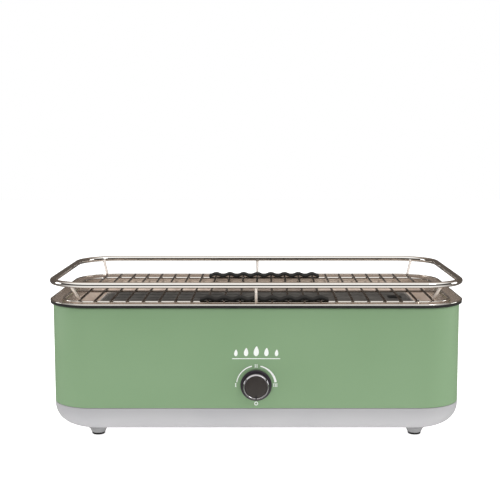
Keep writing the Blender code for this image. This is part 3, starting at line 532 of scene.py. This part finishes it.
def make_battery_jacket():
    look = Look("battery_jacket", srgb(46, 86, 148), 0.3)
    look.mottle(60.0, 2.0, (42, 80, 142), (52, 92, 156))
    look.vary_roughness(look.noise(200.0, 2.0), 0.24, 0.36)
    return look.material


def make_board():
    look = Look("circuit_board", srgb(24, 92, 48), 0.4)
    tracks = look.noise(260.0, 1.0, (1.0, 4.0, 1.0))
    look.vary_color(look.spread(tracks, 0.0, 1.0, 0.48, 0.52), srgb(24, 88, 46), srgb(34, 108, 60))
    return look.material


def make_lead_insulation():
    look = Look("lead_insulation", srgb(142, 30, 26), 0.4)
    look.vary_roughness(look.noise(300.0, 2.0), 0.34, 0.48)
    look.bump(look.noise(1200.0, 2.0), 0.01, 0.4)
    return look.material


# ---------------------------------------------------------------- casing, tray and feet

def wall_rings(profile, half_x, half_y, radius, radius_share=1.0):
    """Rings of a plan, each inset by a profile point's first value at its second value's height."""
    return [rounded_ring(half_x - inset, half_y - inset, radius - radius_share * inset, z)
            for inset, z in profile]


def add_casing(paint):
    """Painted sleeve, turned in at the top, with a hole for the knob's shaft."""
    low = CASING_LOW.z
    top = CASING_HIGH.z
    turn_in = 10.0
    corners = [(0.0, low), (0.0, top), (turn_in, top), (turn_in, top - SHEET), (SHEET, top - SHEET),
               (SHEET, low)]
    profile = fillet_path(corners, [0.45, 1.6, 0.5, 0.5, 1.2, 0.45], 5, closed=True)
    casing = add_piece("casing_shell", skin(wall_rings(profile, BODY_HALF_X, BODY_HALF_Y, BODY_RADIUS),
                                            closed=True), paint, "base", ("casing",))
    hole = plug(4.6, -5.0, 5.0, 32)
    bmesh.ops.transform(hole, verts=hole.verts,
                        matrix=Matrix.Translation(Vector((0.0, KNOB_FACE_Y, KNOB_Z)) * MM)
                        @ Matrix.Rotation(math.pi / 2, 4, "X"))
    combine(casing, hole, "DIFFERENCE")


def add_base_tray(plastic):
    """Tray with a large rounded lower edge, a lip inside the casing and rails for the door."""
    seam = CASING_LOW.z - GAP
    lip_top = TRAY_HIGH.z
    bottom = TRAY_BOTTOM
    lip_inset = 1.8
    wall = 3.8
    floor = 2.5
    run, rise = 26.0, 25.0
    inner_radius = 22.0
    steps = 18
    profile = []
    for step in range(steps + 1):
        angle = math.pi / 2 * step / steps
        profile.append((run * (1 - math.sin(angle)), bottom + rise * (1 - math.cos(angle))))
    profile += fillet_path([(0.0, bottom + 25.2), (0.0, seam), (lip_inset, seam), (lip_inset, lip_top),
                            (wall, lip_top), (wall, bottom + 24.0)], [0.0, 0.5, 0.0, 0.4, 0.4, 0.0], 4)
    for step in range(steps, -1, -2):
        angle = math.pi / 2 * step / steps
        profile.append((wall + inner_radius * (1 - math.sin(angle)),
                        bottom + floor + inner_radius * (1 - math.cos(angle))))
    rings = wall_rings(profile, BODY_HALF_X, BODY_HALF_Y, BODY_RADIUS, 0.7)
    tray = add_piece("base_tray_shell", skin(rings), plastic, "base", ("base_tray",))
    for side in (-1, 1):
        combine(tray, door_rail(side), "UNION")
    combine(tray, tray_cuts(), "DIFFERENCE")


def door_rail(side):
    """An L-shaped rail whose ledge runs under one edge of the battery door."""
    half_length = 38.0
    outer = DOOR_HIGH.y + 3.5
    inner = DOOR_HIGH.y + 0.5
    lip = DOOR_HIGH.y - 2.0
    ledge_top = DOOR_LOW.z - GAP
    ledge_low = ledge_top - 1.2
    top = TRAY_BOTTOM + 0.6
    section = fillet_path([(outer, top), (inner, top), (inner, ledge_top), (lip, ledge_top),
                           (lip, ledge_low), (outer, ledge_low)], [0.0, 0.0, 0.3, 0.4, 0.5, 0.8], 3,
                          closed=True)
    return skin([[(x, side * y, z) for y, z in section]
                 for x in (DOOR_MIDDLE_X - half_length, DOOR_MIDDLE_X + half_length)])


def tray_cuts():
    """The battery opening, and a round field of air slots under the fan."""
    low = TRAY_BOTTOM - 1.0
    high = TRAY_BOTTOM + 3.5
    slot_pitch = 9.0
    field_radius = 33.0
    cuts = rounded_prism((DOOR_MIDDLE_X, 0.0), 31.5, 31.5, 3.0, low, high)
    for index in range(-3, 4):
        x = index * slot_pitch
        half_length = math.sqrt(field_radius ** 2 - x ** 2)
        join_into(cuts, rounded_prism((x, 0.0), 2.5, half_length, 2.4, low, high))
    return cuts


def add_feet(plastic, rubber):
    """Four turned feet that widen towards the tray, each on a soft sole."""
    for label_y in ("front", "rear"):
        for label_x in ("left", "right"):
            node = f"foot_{label_y}_{label_x}"
            low, high = node_span(node)
            place = ((low.x + high.x) / 2, (low.y + high.y) / 2, 0.0)
            base = low.z
            top = TRAY_BOTTOM - GAP
            outline = [(0.0, base), (7.5, base), (8.3, base + 1.6), (9.7, top - 3.6), (11.5, top - 2.3),
                       (11.5, top), (0.0, top)]
            profile = fillet_path(outline, [0.0, 0.6, 0.8, 2.0, 0.8, 0.3, 0.0], 5)
            add_piece(f"{node}_body", turned(profile, 48), plastic, "base", (node,), place)
            sole_node = f"sole_{label_y}_{label_x}"
            outline = [(0.0, 0.0), (7.0, 0.0), (7.6, base - GAP), (0.0, base - GAP)]
            profile = fillet_path(outline, [0.0, 0.7, 0.3, 0.0], 4)
            add_piece(f"{sole_node}_pad", turned(profile, 48), rubber, "base", (sole_node,), place)


def add_casing_screws(steel):
    """Pan-head screws with a cross recess."""
    for number in range(1, 5):
        node = f"casing_screw_{number}"
        low, high = node_span(node)
        center = (low + high) / 2
        if abs(center.x) > BODY_HALF_X - 10.0:
            outward = Vector((math.copysign(1.0, center.x), 0.0, 0.0))
            face = Vector((outward.x * BODY_HALF_X, center.y, center.z))
        else:
            outward = Vector((0.0, math.copysign(1.0, center.y), 0.0))
            face = Vector((center.x, outward.y * BODY_HALF_Y, center.z))
        outline = [(0.0, -5.0), (1.2, -5.0), (1.2, 0.3), (3.0, 0.3), (3.0, 1.0), (1.6, 1.9), (0.0, 1.9)]
        profile = fillet_path(outline, [0.0, 0.3, 0.0, 0.2, 0.5, 1.5, 0.0], 4)
        rotation = Vector((0.0, 0.0, 1.0)).rotation_difference(outward).to_euler()
        screw = add_piece(f"{node}_head", turned(profile, 32), steel, "base", (node,),
                          face, rotation)
        for half_x, half_y in ((1.5, 0.28), (0.28, 1.5)):
            combine(screw, box((-half_x, -half_y, 1.0), (half_x, half_y, 3.0)), "DIFFERENCE")


# ---------------------------------------------------------------- bowl and charcoal parts

def add_bowl(steel, painted_reflection_metal, bright):
    """Rolled bead, polished flange, steep wall and a floor with the air hole; wall and floor are rougher,
    with a painted bright reflection.
    """
    floor = FLOOR_Z
    top = RIM_TOP
    upper = fillet_path([(60.0, floor), (52.0, floor + 1.2), (47.5, floor + 14.0), (43.0, 112.0),
                         (39.5, 129.0), (31.5, 137.4), (22.6, top - 10.9), (20.8, top - 10.3),
                         (20.1, top - 8.8), (9.5, top - 3.2), (4.2, top - 1.9), (1.4, top - 1.2)],
                        [0.0, 6.0, 14.0, 60.0, 9.0, 9.0, 1.5, 0.7, 0.7, 4.0, 1.0, 0.0], 7)
    lower = fillet_path([(1.4, top - 1.6), (4.0, top - 3.1), (8.9, top - 4.5), (19.4, top - 9.9),
                         (20.2, top - 11.4), (30.6, 136.4), (38.4, 128.3), (41.8, 111.8),
                         (46.3, floor + 13.8), (51.2, floor), (60.0, floor - SHEET)],
                        [0.0, 0.5, 2.0, 0.7, 1.0, 9.0, 9.0, 60.0, 14.0, 6.0, 0.0], 7)
    rings = wall_rings(upper + lower, RIM_HALF_X, RIM_HALF_Y, RIM_RADIUS, 0.5)
    bowl = add_piece("bowl_shell", skin(rings), steel, "bowl", ("bowl",))
    combine(bowl, plug(26.0, floor - 5.0, floor + 5.0), "DIFFERENCE")
    bowl.data.materials.append(painted_reflection_metal)
    # Faces below the flange take the pale steel, a painted bright reflection.
    flange_foot = top - 10.6
    for face in bowl.data.polygons:
        if face.center.z < flange_foot * MM:
            face.material_index = 1
    steps = 20
    roll = [(BEAD + BEAD * math.cos(angle), top - BEAD + BEAD * math.sin(angle))
            for angle in (math.tau * step / steps for step in range(steps))]
    add_piece("bowl_rolled_bead", skin(wall_rings(roll, RIM_HALF_X, RIM_HALF_Y, RIM_RADIUS, 0.5),
                                       closed=True), bright, "bowl", ("bowl",))


def add_gasket(rubber):
    """Black ring between the casing and the bead, nearly flush with both."""
    low, high = GASKET_LOW.z, GASKET_HIGH.z
    profile = fillet_path([(0.35, low), (0.35, high), (4.0, high), (4.0, low)], [0.4, 0.4, 0.0, 0.0], 4,
                          closed=True)
    add_piece("rim_gasket_ring", skin(wall_rings(profile, RIM_HALF_X, RIM_HALF_Y, RIM_RADIUS, 0.5),
                                      closed=True), rubber, "base", ("rim_gasket",))


def add_basket_rim(steel):
    """Frame round the basket: a ledge that carries the cover, and a rounded lip outside it."""
    low, high = BASKET_RIM_LOW.z, BASKET_RIM_HIGH.z
    half_x, half_y = BASKET_RIM_HIGH.x, BASKET_RIM_HIGH.y
    ledge = half_x - BASKET_HIGH.x - GAP
    profile = fillet_path([(ledge, low), (0.0, low), (0.0, high), (SHEET, high), (SHEET, low + SHEET),
                           (ledge, low + SHEET)], [0.0, 2.0, 0.5, 0.5, 1.0, 0.0], 5)
    rings = []
    for inset, z in profile:
        share = inset / ledge
        rings.append(rounded_ring(half_x - inset, half_y - share * (half_y - BASKET_HIGH.y - GAP),
                                  16.0 - 3.7 * share, z, 12))
    # The frame takes the near-white wire, a painted bright reflection.
    add_piece("basket_rim_frame", skin(rings, closed=True), steel, "basket", ("basket_rim",))


def add_basket(steel):
    """Folded sheet box with slots for the air and four feet."""
    half_x = BASKET_HIGH.x
    half_y = BASKET_HIGH.y
    bottom = BASKET_FLOOR
    top = BASKET_HIGH.z
    profile = fillet_path([(30.0, bottom), (0.0, bottom), (0.0, top), (SHEET, top),
                           (SHEET, bottom + SHEET), (30.0, bottom + SHEET)],
                          [0.0, 3.0, 0.4, 0.4, 2.0, 0.0], 5)
    rings = [rounded_ring(half_x - inset, half_y - inset, max(12.0 - inset, 2.0), z, 10)
             for inset, z in profile]
    basket = add_piece("charcoal_basket_shell", skin(rings), steel, "basket", ("charcoal_basket",))
    for x in (-140.0, 140.0):
        for y in (-22.0, 22.0):
            combine(basket, rounded_prism((x, y), 6.0, 4.0, 2.0, BASKET_LOW.z, bottom + 0.6), "UNION")
    slot_pitch = 29.0
    slot_z = 100.0
    cuts = bmesh.new()
    for index in range(-5, 6):
        x = index * slot_pitch
        join_into(cuts, rounded_prism((x - 6.0, 0.0), 3.0, 24.0, 2.9, bottom - 1.0, bottom + 3.0))
        turn = Matrix.Translation(Vector((x, 0.0, slot_z)) * MM) @ Matrix.Rotation(math.pi / 2, 4, "X")
        join_into(cuts, rounded_prism((0.0, 0.0), 10.0, 4.0, 3.9, -half_y - 4.0, half_y + 4.0), turn)
    combine(basket, cuts, "DIFFERENCE")


def add_cover(enamel):
    """Cast cover plate: ribs along its left half, a finger slot near its right end."""
    half_x = COVER_HIGH.x
    half_y = COVER_HIGH.y
    low = COVER_LOW.z
    top = low + 3.6
    profile = fillet_path([(14.0, low), (0.0, low), (0.0, top), (14.0, top)], [0.0, 1.0, 1.0, 0.0], 5)
    rings = [rounded_ring(half_x - inset, half_y - inset, max(14.0 - inset, 1.0), z, 12)
             for inset, z in profile]
    cover = add_piece("basket_cover_plate", skin(rings), enamel, "cover", ("basket_cover",))
    for y in (-22.0, 0.0, 22.0):
        combine(cover, cover_rib(y, top), "UNION")
    combine(cover, rounded_prism((165.0, 5.0), 8.5, 12.0, 6.0, low - 1.0, top + 1.0, 8), "DIFFERENCE")


def cover_rib(y, top):
    """A long rib with a round back and tapered ends."""
    half_width = 1.9
    height = 1.5
    rings = []
    for x, share in ((-169.0, 0.15), (-167.0, 0.7), (-164.0, 1.0), (-20.0, 1.0), (-17.0, 0.7), (-15.0, 0.15)):
        ring = [(x, y - half_width, top - 0.5)]
        for step in range(9):
            angle = math.pi * step / 8
            ring.append((x, y - half_width * math.cos(angle), top - 0.3 + height * share * math.sin(angle)))
        ring.append((x, y + half_width, top - 0.5))
        rings.append(ring)
    return skin(rings)


# ---------------------------------------------------------------- grate

def edge_y(x, half_x, half_y, radius):
    """Distance from the long middle line to the edge of a rounded rectangle at x."""
    into_corner = max(0.0, x - (half_x - radius))
    return half_y - radius + math.sqrt(max(radius ** 2 - into_corner ** 2, 0.0))


def add_grid(chrome, painted_reflection_metal):
    """Cross wires welded on two lengthwise wires and a bar bent round the edge, and one peg."""
    cross_z = WIRE_TOP - WIRE
    long_z = cross_z - 2.4
    long_half = 216.5
    grid = bmesh.new()
    join_into(grid, tube(rounded_ring(217.0, 95.0, 32.0, long_z - 0.45, 16), EDGE_BAR, 16, closed=True))
    wires = bmesh.new()
    for y in (-19.0, 19.0):
        join_into(wires, tube([(-long_half, y, long_z), (0.0, y, long_z), (long_half, y, long_z)], WIRE, 12,
                              round_ends=False))
    for index in range(-WIRES_EACH_SIDE, WIRES_EACH_SIDE + 1):
        x = index * WIRE_PITCH
        end = edge_y(abs(x) + WIRE, 212.0, 108.0, 40.0) - 0.6
        join_into(wires, tube([(x, -end, cross_z), (x, 0.0, cross_z), (x, end, cross_z)], WIRE, 14))
    peg = turned(fillet_path([(0.0, cross_z - 2.0), (1.2, cross_z - 2.0), (1.2, GRID_HIGH.z),
                              (0.0, GRID_HIGH.z)], [0.0, 0.3, 0.4, 0.0], 4), 24)
    join_into(grid, peg, Matrix.Translation(Vector((10 * WIRE_PITCH, -108.6, 0.0)) * MM))
    add_piece("grate_edge_rod", grid, chrome, "grate", ("grate_grid",))
    # The cross wires take the brown-grey chrome, a painted dark reflection.
    add_piece("grate_cross_wires", wires, painted_reflection_metal, "grate", ("grate_grid",))


def add_rail(chrome, pale):
    """Carrying rail and the six leaning posts under it."""
    rail_z = RAIL_HIGH.z - RAIL_BAR
    half_x = RIM_HALF_X - RAIL_BAR
    half_y = RIM_HALF_Y - RAIL_BAR
    corner = RIM_RADIUS - RAIL_BAR
    head_x = 200.5
    rail = tube(rounded_ring(half_x, half_y, corner, rail_z, 28), RAIL_BAR, 28, closed=True)
    posts = bmesh.new()
    for side_y in (-1, 1):
        add_post(posts, (0.0, side_y * 110.0, WIRE_TOP - 2.4), (0.0, side_y * half_y, rail_z))
        for side_x in (-1, 1):
            foot = (side_x * WIRES_EACH_SIDE * WIRE_PITCH, side_y * 99.0, WIRE_TOP + 0.1)
            head = (side_x * head_x, side_y * edge_y(head_x, half_x, half_y, corner), rail_z)
            add_post(posts, foot, head)
    add_piece("grate_carry_rail", rail, chrome, "grate", ("grate_rail",))
    # The posts take the near-white wire, a painted bright reflection.
    add_piece("grate_rail_posts", posts, pale, "grate", ("grate_rail",))


def add_post(bm, foot, head):
    """A post that flares into its weld at the rail."""
    foot = Vector(foot)
    head = Vector(head)
    direction = (head - foot).normalized()
    length = (head - foot).length
    outline = [(0.0, 0.0), (POST_BAR, 0.0), (POST_BAR, length - 5.2), (1.7, length - 4.0),
               (2.2, length - 3.1), (2.5, length - 2.4), (0.0, length - 2.4)]
    profile = fillet_path(outline, [0.0, 0.6, 3.0, 1.0, 0.6, 0.0, 0.0], 4)
    matrix = (Matrix.Translation(foot * MM)
              @ Vector((0.0, 0.0, 1.0)).rotation_difference(direction).to_matrix().to_4x4())
    join_into(bm, turned(profile, 20), matrix)


def add_grips(material):
    """Wavy strips whose crests sit on eight neighbouring cross wires."""
    thickness = 2.6
    half = thickness / 2
    samples = 8 * 24
    for node in ("grip_front", "grip_rear"):
        low, high = node_span(node)
        wave_height = high.z - low.z - thickness
        section = fillet_path([(low.y, -half), (high.y, -half), (high.y, half), (low.y, half)],
                              [0.8] * 4, 4, closed=True)
        rings = []
        for index in range(samples + 1):
            x = low.x + (high.x - low.x) * index / samples
            wave = math.cos(math.tau * x / WIRE_PITCH)
            slope = -math.sin(math.tau * x / WIRE_PITCH) * wave_height * math.pi / WIRE_PITCH
            z = high.z - thickness / 2 - wave_height * (1.0 - wave) / 2
            normal = Vector((-slope, 0.0, 1.0)).normalized()
            rings.append([Vector((x, y, z)) + normal * offset for y, offset in section])
        add_piece(f"{node}_strip", skin(rings), material, "grate", (node,))


# ---------------------------------------------------------------- knob and dial

def add_knob(dark, cap_material, chrome):
    """Skirt with a hub, bright chamfered ring and cap, turned about the axis that leaves the front."""
    place = (0.0, KNOB_FACE_Y, KNOB_Z)
    forward = (math.pi / 2, 0.0, 0.0)
    hub_front = 8.0
    front = 10.0
    outline = [(7.6, 0.8), (16.4, 0.8), (17.0, 1.4), (17.0, 2.6), (14.1, 3.3), (13.9, 3.3),
               (13.9, hub_front), (0.0, hub_front), (0.0, hub_front - 1.3), (3.3, hub_front - 1.3),
               (3.3, 4.2), (7.6, 4.2)]
    profile = fillet_path(outline, [0.0, 0.3, 0.3, 0.9, 0.0, 0.3, 0.3, 0.0, 0.0, 0.0, 0.0, 0.0], 4)
    add_piece("knob_skirt_body", turned(profile, 96), dark, "knob", ("knob_skirt",),
              place, forward)
    low = hub_front + GAP
    outline = [(12.3, low), (13.9, low), (13.9, low + 0.35), (12.65, front), (12.3, front - 0.25)]
    profile = fillet_path(outline, [0.0, 0.1, 0.25, 0.3, 0.1], 4, closed=True)
    ring = add_piece("knob_trim_ring", turned(profile, 96), chrome, "knob", ("knob_ring",),
                     place, forward)
    outline = [(0.0, low), (12.0, low), (12.0, front - 0.5), (0.0, front)]
    profile = fillet_path(outline, [0.0, 0.0, 0.5, 0.0], 5)
    cap = add_piece("knob_cap_disc", turned(profile, 96), cap_material, "knob", ("knob_cap",),
                    place, forward)
    for piece in (ring, cap):
        combine(piece, rounded_prism((0.0, -12.2), 0.75, 3.3, 0.7, front - 2.2, front + 1.0),
                "DIFFERENCE")


def add_flat_shape(bm, outline, depth):
    """Add a thin raised patch of print, from an outline in the front face's plane."""
    join_into(bm, skin([[(x, y, z) for x, y in outline] for z in (0.0, depth)]))


def arc_outline(radius, start, end, start_width, end_width, steps=40):
    """A band along a circle whose width grows from its start to its end, in degrees from +X."""
    outer = []
    inner = []
    for step in range(steps + 1):
        share = step / steps
        angle = math.radians(start + (end - start) * share)
        half = (start_width + (end_width - start_width) * share) / 2
        outer.append(((radius + half) * math.cos(angle), (radius + half) * math.sin(angle)))
        inner.append(((radius - half) * math.cos(angle), (radius - half) * math.sin(angle)))
    return outer + inner[::-1]


def serif_bar(x, y, width, height):
    """Outline of one numeral stroke with small serifs."""
    half = width / 2
    serif = half + 0.32
    tall = height / 2
    foot = 0.42
    return [(x - serif, y - tall), (x + serif, y - tall), (x + serif, y - tall + foot),
            (x + half, y - tall + foot), (x + half, y + tall - foot), (x + serif, y + tall - foot),
            (x + serif, y + tall), (x - serif, y + tall), (x - serif, y + tall - foot),
            (x - half, y + tall - foot), (x - half, y - tall + foot), (x - serif, y - tall + foot)]


def add_dial(ink):
    """White print on the casing: O, I, II and III, a band that widens with the air flow, and a row
    of flames over a line."""
    depth = 0.12
    band = 21.3
    outlines = [arc_outline(band, 171.5, 102.5, 0.9, 1.3), arc_outline(band, 77.5, 8.5, 1.2, 2.6),
                serif_bar(-band - 0.9, 0.0, 0.8, 4.0)]
    outlines += [serif_bar(x, band - 0.2, 0.7, 3.4) for x in (-0.95, 0.95)]
    outlines += [serif_bar(x + band - 0.6, 0.0, 0.75, 3.6) for x in (-1.75, 0.0, 1.75)]
    bm = bmesh.new()
    for outline in outlines:
        add_flat_shape(bm, outline, depth)
    ring = turned([(1.25, 0.0), (2.1, 0.0), (2.1, depth), (1.25, depth)], 48)
    join_into(bm, ring, Matrix.Translation(Vector((0.0, -20.5, 0.0)) * MM))
    for index in range(-2, 3):
        size = 5.4 - 0.9 * abs(index)
        add_flat_shape(bm, flame_outline(index * 11.0, 32.0 + size, size), depth)
    add_flat_shape(bm, [(-26.0, 29.6), (-26.0, 28.8), (26.0, 28.8), (26.0, 29.6)], depth)
    add_piece("dial_print", bm, ink, "base", (), (0.0, KNOB_FACE_Y - 0.01, KNOB_Z),
              (math.pi / 2, 0.0, 0.0))


def flame_outline(center_x, center_y, size):
    """A plain drop-shaped flame."""
    points = []
    steps = 40
    for step in range(steps):
        angle = math.tau * step / steps
        lift = 0.5 + 0.5 * math.sin(angle)
        width = math.cos(angle) * (1.0 - 0.55 * lift ** 1.5)
        lean = 0.12 * lift ** 2
        points.append((center_x + size * (0.62 * width + lean), center_y + size * math.sin(angle)))
    return points


# ---------------------------------------------------------------- battery door and kept CAD nodes

def add_battery_door(plastic):
    """Flat door with five thumb grooves near its right edge."""
    low, high = DOOR_LOW, DOOR_HIGH
    middle = (low + high) / 2
    half_x = (high.x - low.x) / 2
    half_y = (high.y - low.y) / 2
    profile = fillet_path([(4.0, low.z), (0.0, low.z), (0.0, high.z), (4.0, high.z)],
                          [0.0, 0.5, 0.4, 0.0], 3)
    rings = [[point + Vector((middle.x, middle.y, 0.0))
              for point in rounded_ring(half_x - inset, half_y - inset, max(2.0 - inset, 0.5), z, 5)]
             for inset, z in profile]
    door = add_piece("battery_door_panel", skin(rings), plastic, "door", ("battery_door",))
    grooves = bmesh.new()
    for index in range(5):
        x = middle.x + 18.7 + index * 3.0
        join_into(grooves, rounded_prism((x, 0.0), 0.7, 10.0, 0.65, low.z - 1.0, low.z + 0.7, 5))
    combine(door, grooves, "DIFFERENCE")


def dress_cad_nodes(looks):
    """Give the CAD nodes that stay visible their finished materials."""
    for node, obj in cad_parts.items():
        for prefix, material in looks:
            if node.startswith(prefix):
                obj.data.materials.clear()
                obj.data.materials.append(material)
                break


# ---------------------------------------------------------------- stage

def add_stage():
    """A plain pale floor that bright metal doesn't reflect."""
    corners = [(x * FLOOR_HALF_SIDE, y * FLOOR_HALF_SIDE) for x, y in ((-1, -1), (1, -1), (1, 1), (-1, 1))]
    bm = bmesh.new()
    bm.faces.new([bm.verts.new((x, y, 0.0)) for x, y in corners])
    mesh = bpy.data.meshes.new("floor")
    bm.to_mesh(mesh)
    bm.free()
    floor = bpy.data.objects.new("floor", mesh)
    bpy.context.scene.collection.objects.link(floor)
    look = Look("pale_floor", (0.92, 0.92, 0.92, 1.0), 0.95, Emission_Color=(1.0, 1.0, 1.0, 1.0),
                Emission_Strength=FLOOR_GLOW)
    mesh.materials.append(look.material)
    floor.visible_glossy = False


def add_area_light(name, place, target, size, power):
    """A rectangular lamp aimed at a target, in metres and watts."""
    light = bpy.data.lights.new(name, "AREA")
    light.shape = "RECTANGLE"
    light.size = size[0]
    light.size_y = size[1]
    light.energy = power
    lamp = bpy.data.objects.new(name, light)
    bpy.context.scene.collection.objects.link(lamp)
    lamp.location = place
    aim = Vector(target) - Vector(place)
    lamp.rotation_euler = aim.to_track_quat("-Z", "Y").to_euler()
    return lamp


def world_value(nodes, links, kind, *inputs, clamp=False):
    """A math node whose inputs are numbers or sockets."""
    node = nodes.new("ShaderNodeMath")
    node.operation = kind
    node.use_clamp = clamp
    for index, value in enumerate(inputs):
        if isinstance(value, (int, float)):
            node.inputs[index].default_value = value
        else:
            links.new(value, node.inputs[index])
    return node.outputs["Value"]


def add_world():
    """White to the camera, an even soft light on matt faces, and for bright metal to reflect, a
    studio with a pale floor and ceiling in front, a dark band between them and dim surroundings."""
    world = bpy.data.worlds.new("studio")
    world.use_nodes = True
    bpy.context.scene.world = world
    nodes = world.node_tree.nodes
    links = world.node_tree.links
    background = nodes["Background"]
    direction = nodes.new("ShaderNodeSeparateXYZ")
    links.new(nodes.new("ShaderNodeTexCoord").outputs["Generated"], direction.inputs["Vector"])
    height = world_value(nodes, links, "MULTIPLY_ADD", direction.outputs["Z"], 0.5, 0.5)
    ramps = []
    for stops in (STUDIO_FRONT, STUDIO_BACK):
        ramp = nodes.new("ShaderNodeValToRGB")
        ramp.color_ramp.interpolation = "LINEAR"
        while len(ramp.color_ramp.elements) < len(stops):
            ramp.color_ramp.elements.new(0.5)
        for element, (level, shade) in zip(ramp.color_ramp.elements, stops):
            element.position = level
            element.color = (shade[0], shade[1], shade[2], 1.0)
        links.new(height, ramp.inputs["Fac"])
        ramps.append(ramp.outputs["Color"])
    facing = world_value(nodes, links, "MULTIPLY_ADD", direction.outputs["Y"], -1.6, 0.5, clamp=True)
    path = nodes.new("ShaderNodeLightPath")
    studio = mix_colors(nodes, links, facing, ramps[1], ramps[0])
    lit = mix_colors(nodes, links, path.outputs["Is Glossy Ray"], (AMBIENT, AMBIENT, AMBIENT, 1.0), studio)
    seen = mix_colors(nodes, links, path.outputs["Is Camera Ray"], lit, (1.0, 1.0, 1.0, 1.0))
    links.new(seen, background.inputs["Color"])
    background.inputs["Strength"].default_value = 1.0


def mix_colors(nodes, links, factor, first, second):
    """A colour mix whose ends are colours or sockets."""
    node = nodes.new("ShaderNodeMix")
    node.data_type = "RGBA"
    links.new(factor, node.inputs["Factor"])
    for name, value in (("A", first), ("B", second)):
        socket = [entry for entry in node.inputs if entry.name == name and entry.type == "RGBA"][0]
        if isinstance(value, tuple):
            socket.default_value = value
        else:
            links.new(value, socket)
    return [entry for entry in node.outputs if entry.type == "RGBA"][0]


def add_lights():
    add_world()
    add_area_light("key", (1.1, -1.3, 1.5), (0.0, 0.0, 0.08), (0.5, 0.4), KEY_POWER)
    top = add_area_light("top", (-0.2, 0.1, 1.8), (0.0, 0.0, 0.1), (1.6, 1.0), TOP_POWER)
    top.visible_glossy = False
    for name, side in (("right_fill", 1), ("left_fill", -1)):
        add_area_light(name, (side * 1.7, 0.15, 0.35), (side * 0.2, 0.0, 0.1), (0.6, 0.6), FILL_POWER)


def add_camera():
    camera = bpy.data.cameras.new("camera")
    camera.sensor_width = CAMERA_SENSOR
    camera.lens = CAMERA_FOCAL_SHARE * CAMERA_SENSOR
    camera.shift_x = CAMERA_SHIFT_X
    camera.clip_start = 0.05
    camera.clip_end = 20.0
    holder = bpy.data.objects.new("camera", camera)
    bpy.context.scene.collection.objects.link(holder)
    holder.location = MIDDLE + Vector(CAMERA_PLACE) * MM
    holder.rotation_euler = (math.pi / 2 - CAMERA_PITCH, 0.0, 0.0)
    bpy.context.scene.camera = holder


def main():
    scene = bpy.context.scene
    scene.view_settings.view_transform = "Standard"
    scene.view_settings.look = "None"
    add_stage()
    add_lights()
    add_camera()

    paint = make_powder_coat()
    tray = make_tray_plastic()
    foot = make_foot_plastic()
    sole = make_rubber("sole_rubber", 24)
    grip = make_rubber("grip_silicone_black", 30)
    stainless = make_polished_stainless()
    wire_chrome = make_chrome("chromed_wire")
    pale = make_bright_reflection_wire()
    trim_chrome = make_chrome("trim_chrome", (196, 194, 198))
    basket_steel = make_coated_steel("basket_steel", (170, 166, 158), (140, 128, 112))
    zinc = make_coated_steel("zinc_steel", (186, 186, 180), (164, 164, 160), 0.32)
    enamel = make_enamel()
    skirt = make_dark_plastic("knob_dark_plastic", (46, 40, 48))
    cap = make_dark_plastic("knob_cap_plastic", (51, 45, 42), 0.42)
    black = make_dark_plastic("black_plastic", (34, 34, 36))
    ink = make_print()

    add_casing(paint)
    add_base_tray(tray)
    add_feet(foot, sole)
    add_casing_screws(zinc)
    add_bowl(stainless, make_bright_reflection_stainless(), wire_chrome)
    add_gasket(sole)
    add_basket(basket_steel)
    add_basket_rim(pale)
    add_cover(enamel)
    add_grid(wire_chrome, make_dark_reflection_wire())
    add_rail(wire_chrome, pale)
    add_grips(grip)
    add_knob(skirt, cap, trim_chrome)
    add_dial(ink)
    add_battery_door(tray)
    dress_cad_nodes([
        ("air_d", basket_steel), ("heat_shield", basket_steel),
        ("fan_screw", zinc), ("shield_screw", zinc), ("fan_motor", zinc), ("motor_shaft", zinc),
        ("control_board", make_board()), ("control_", zinc), ("battery_contact", zinc),
        ("battery_box", black), ("battery_", make_battery_jacket()), ("fan_", black),
        ("motor_bracket", black), ("speed_control", black), ("lead_", make_lead_insulation()),
    ])


main()
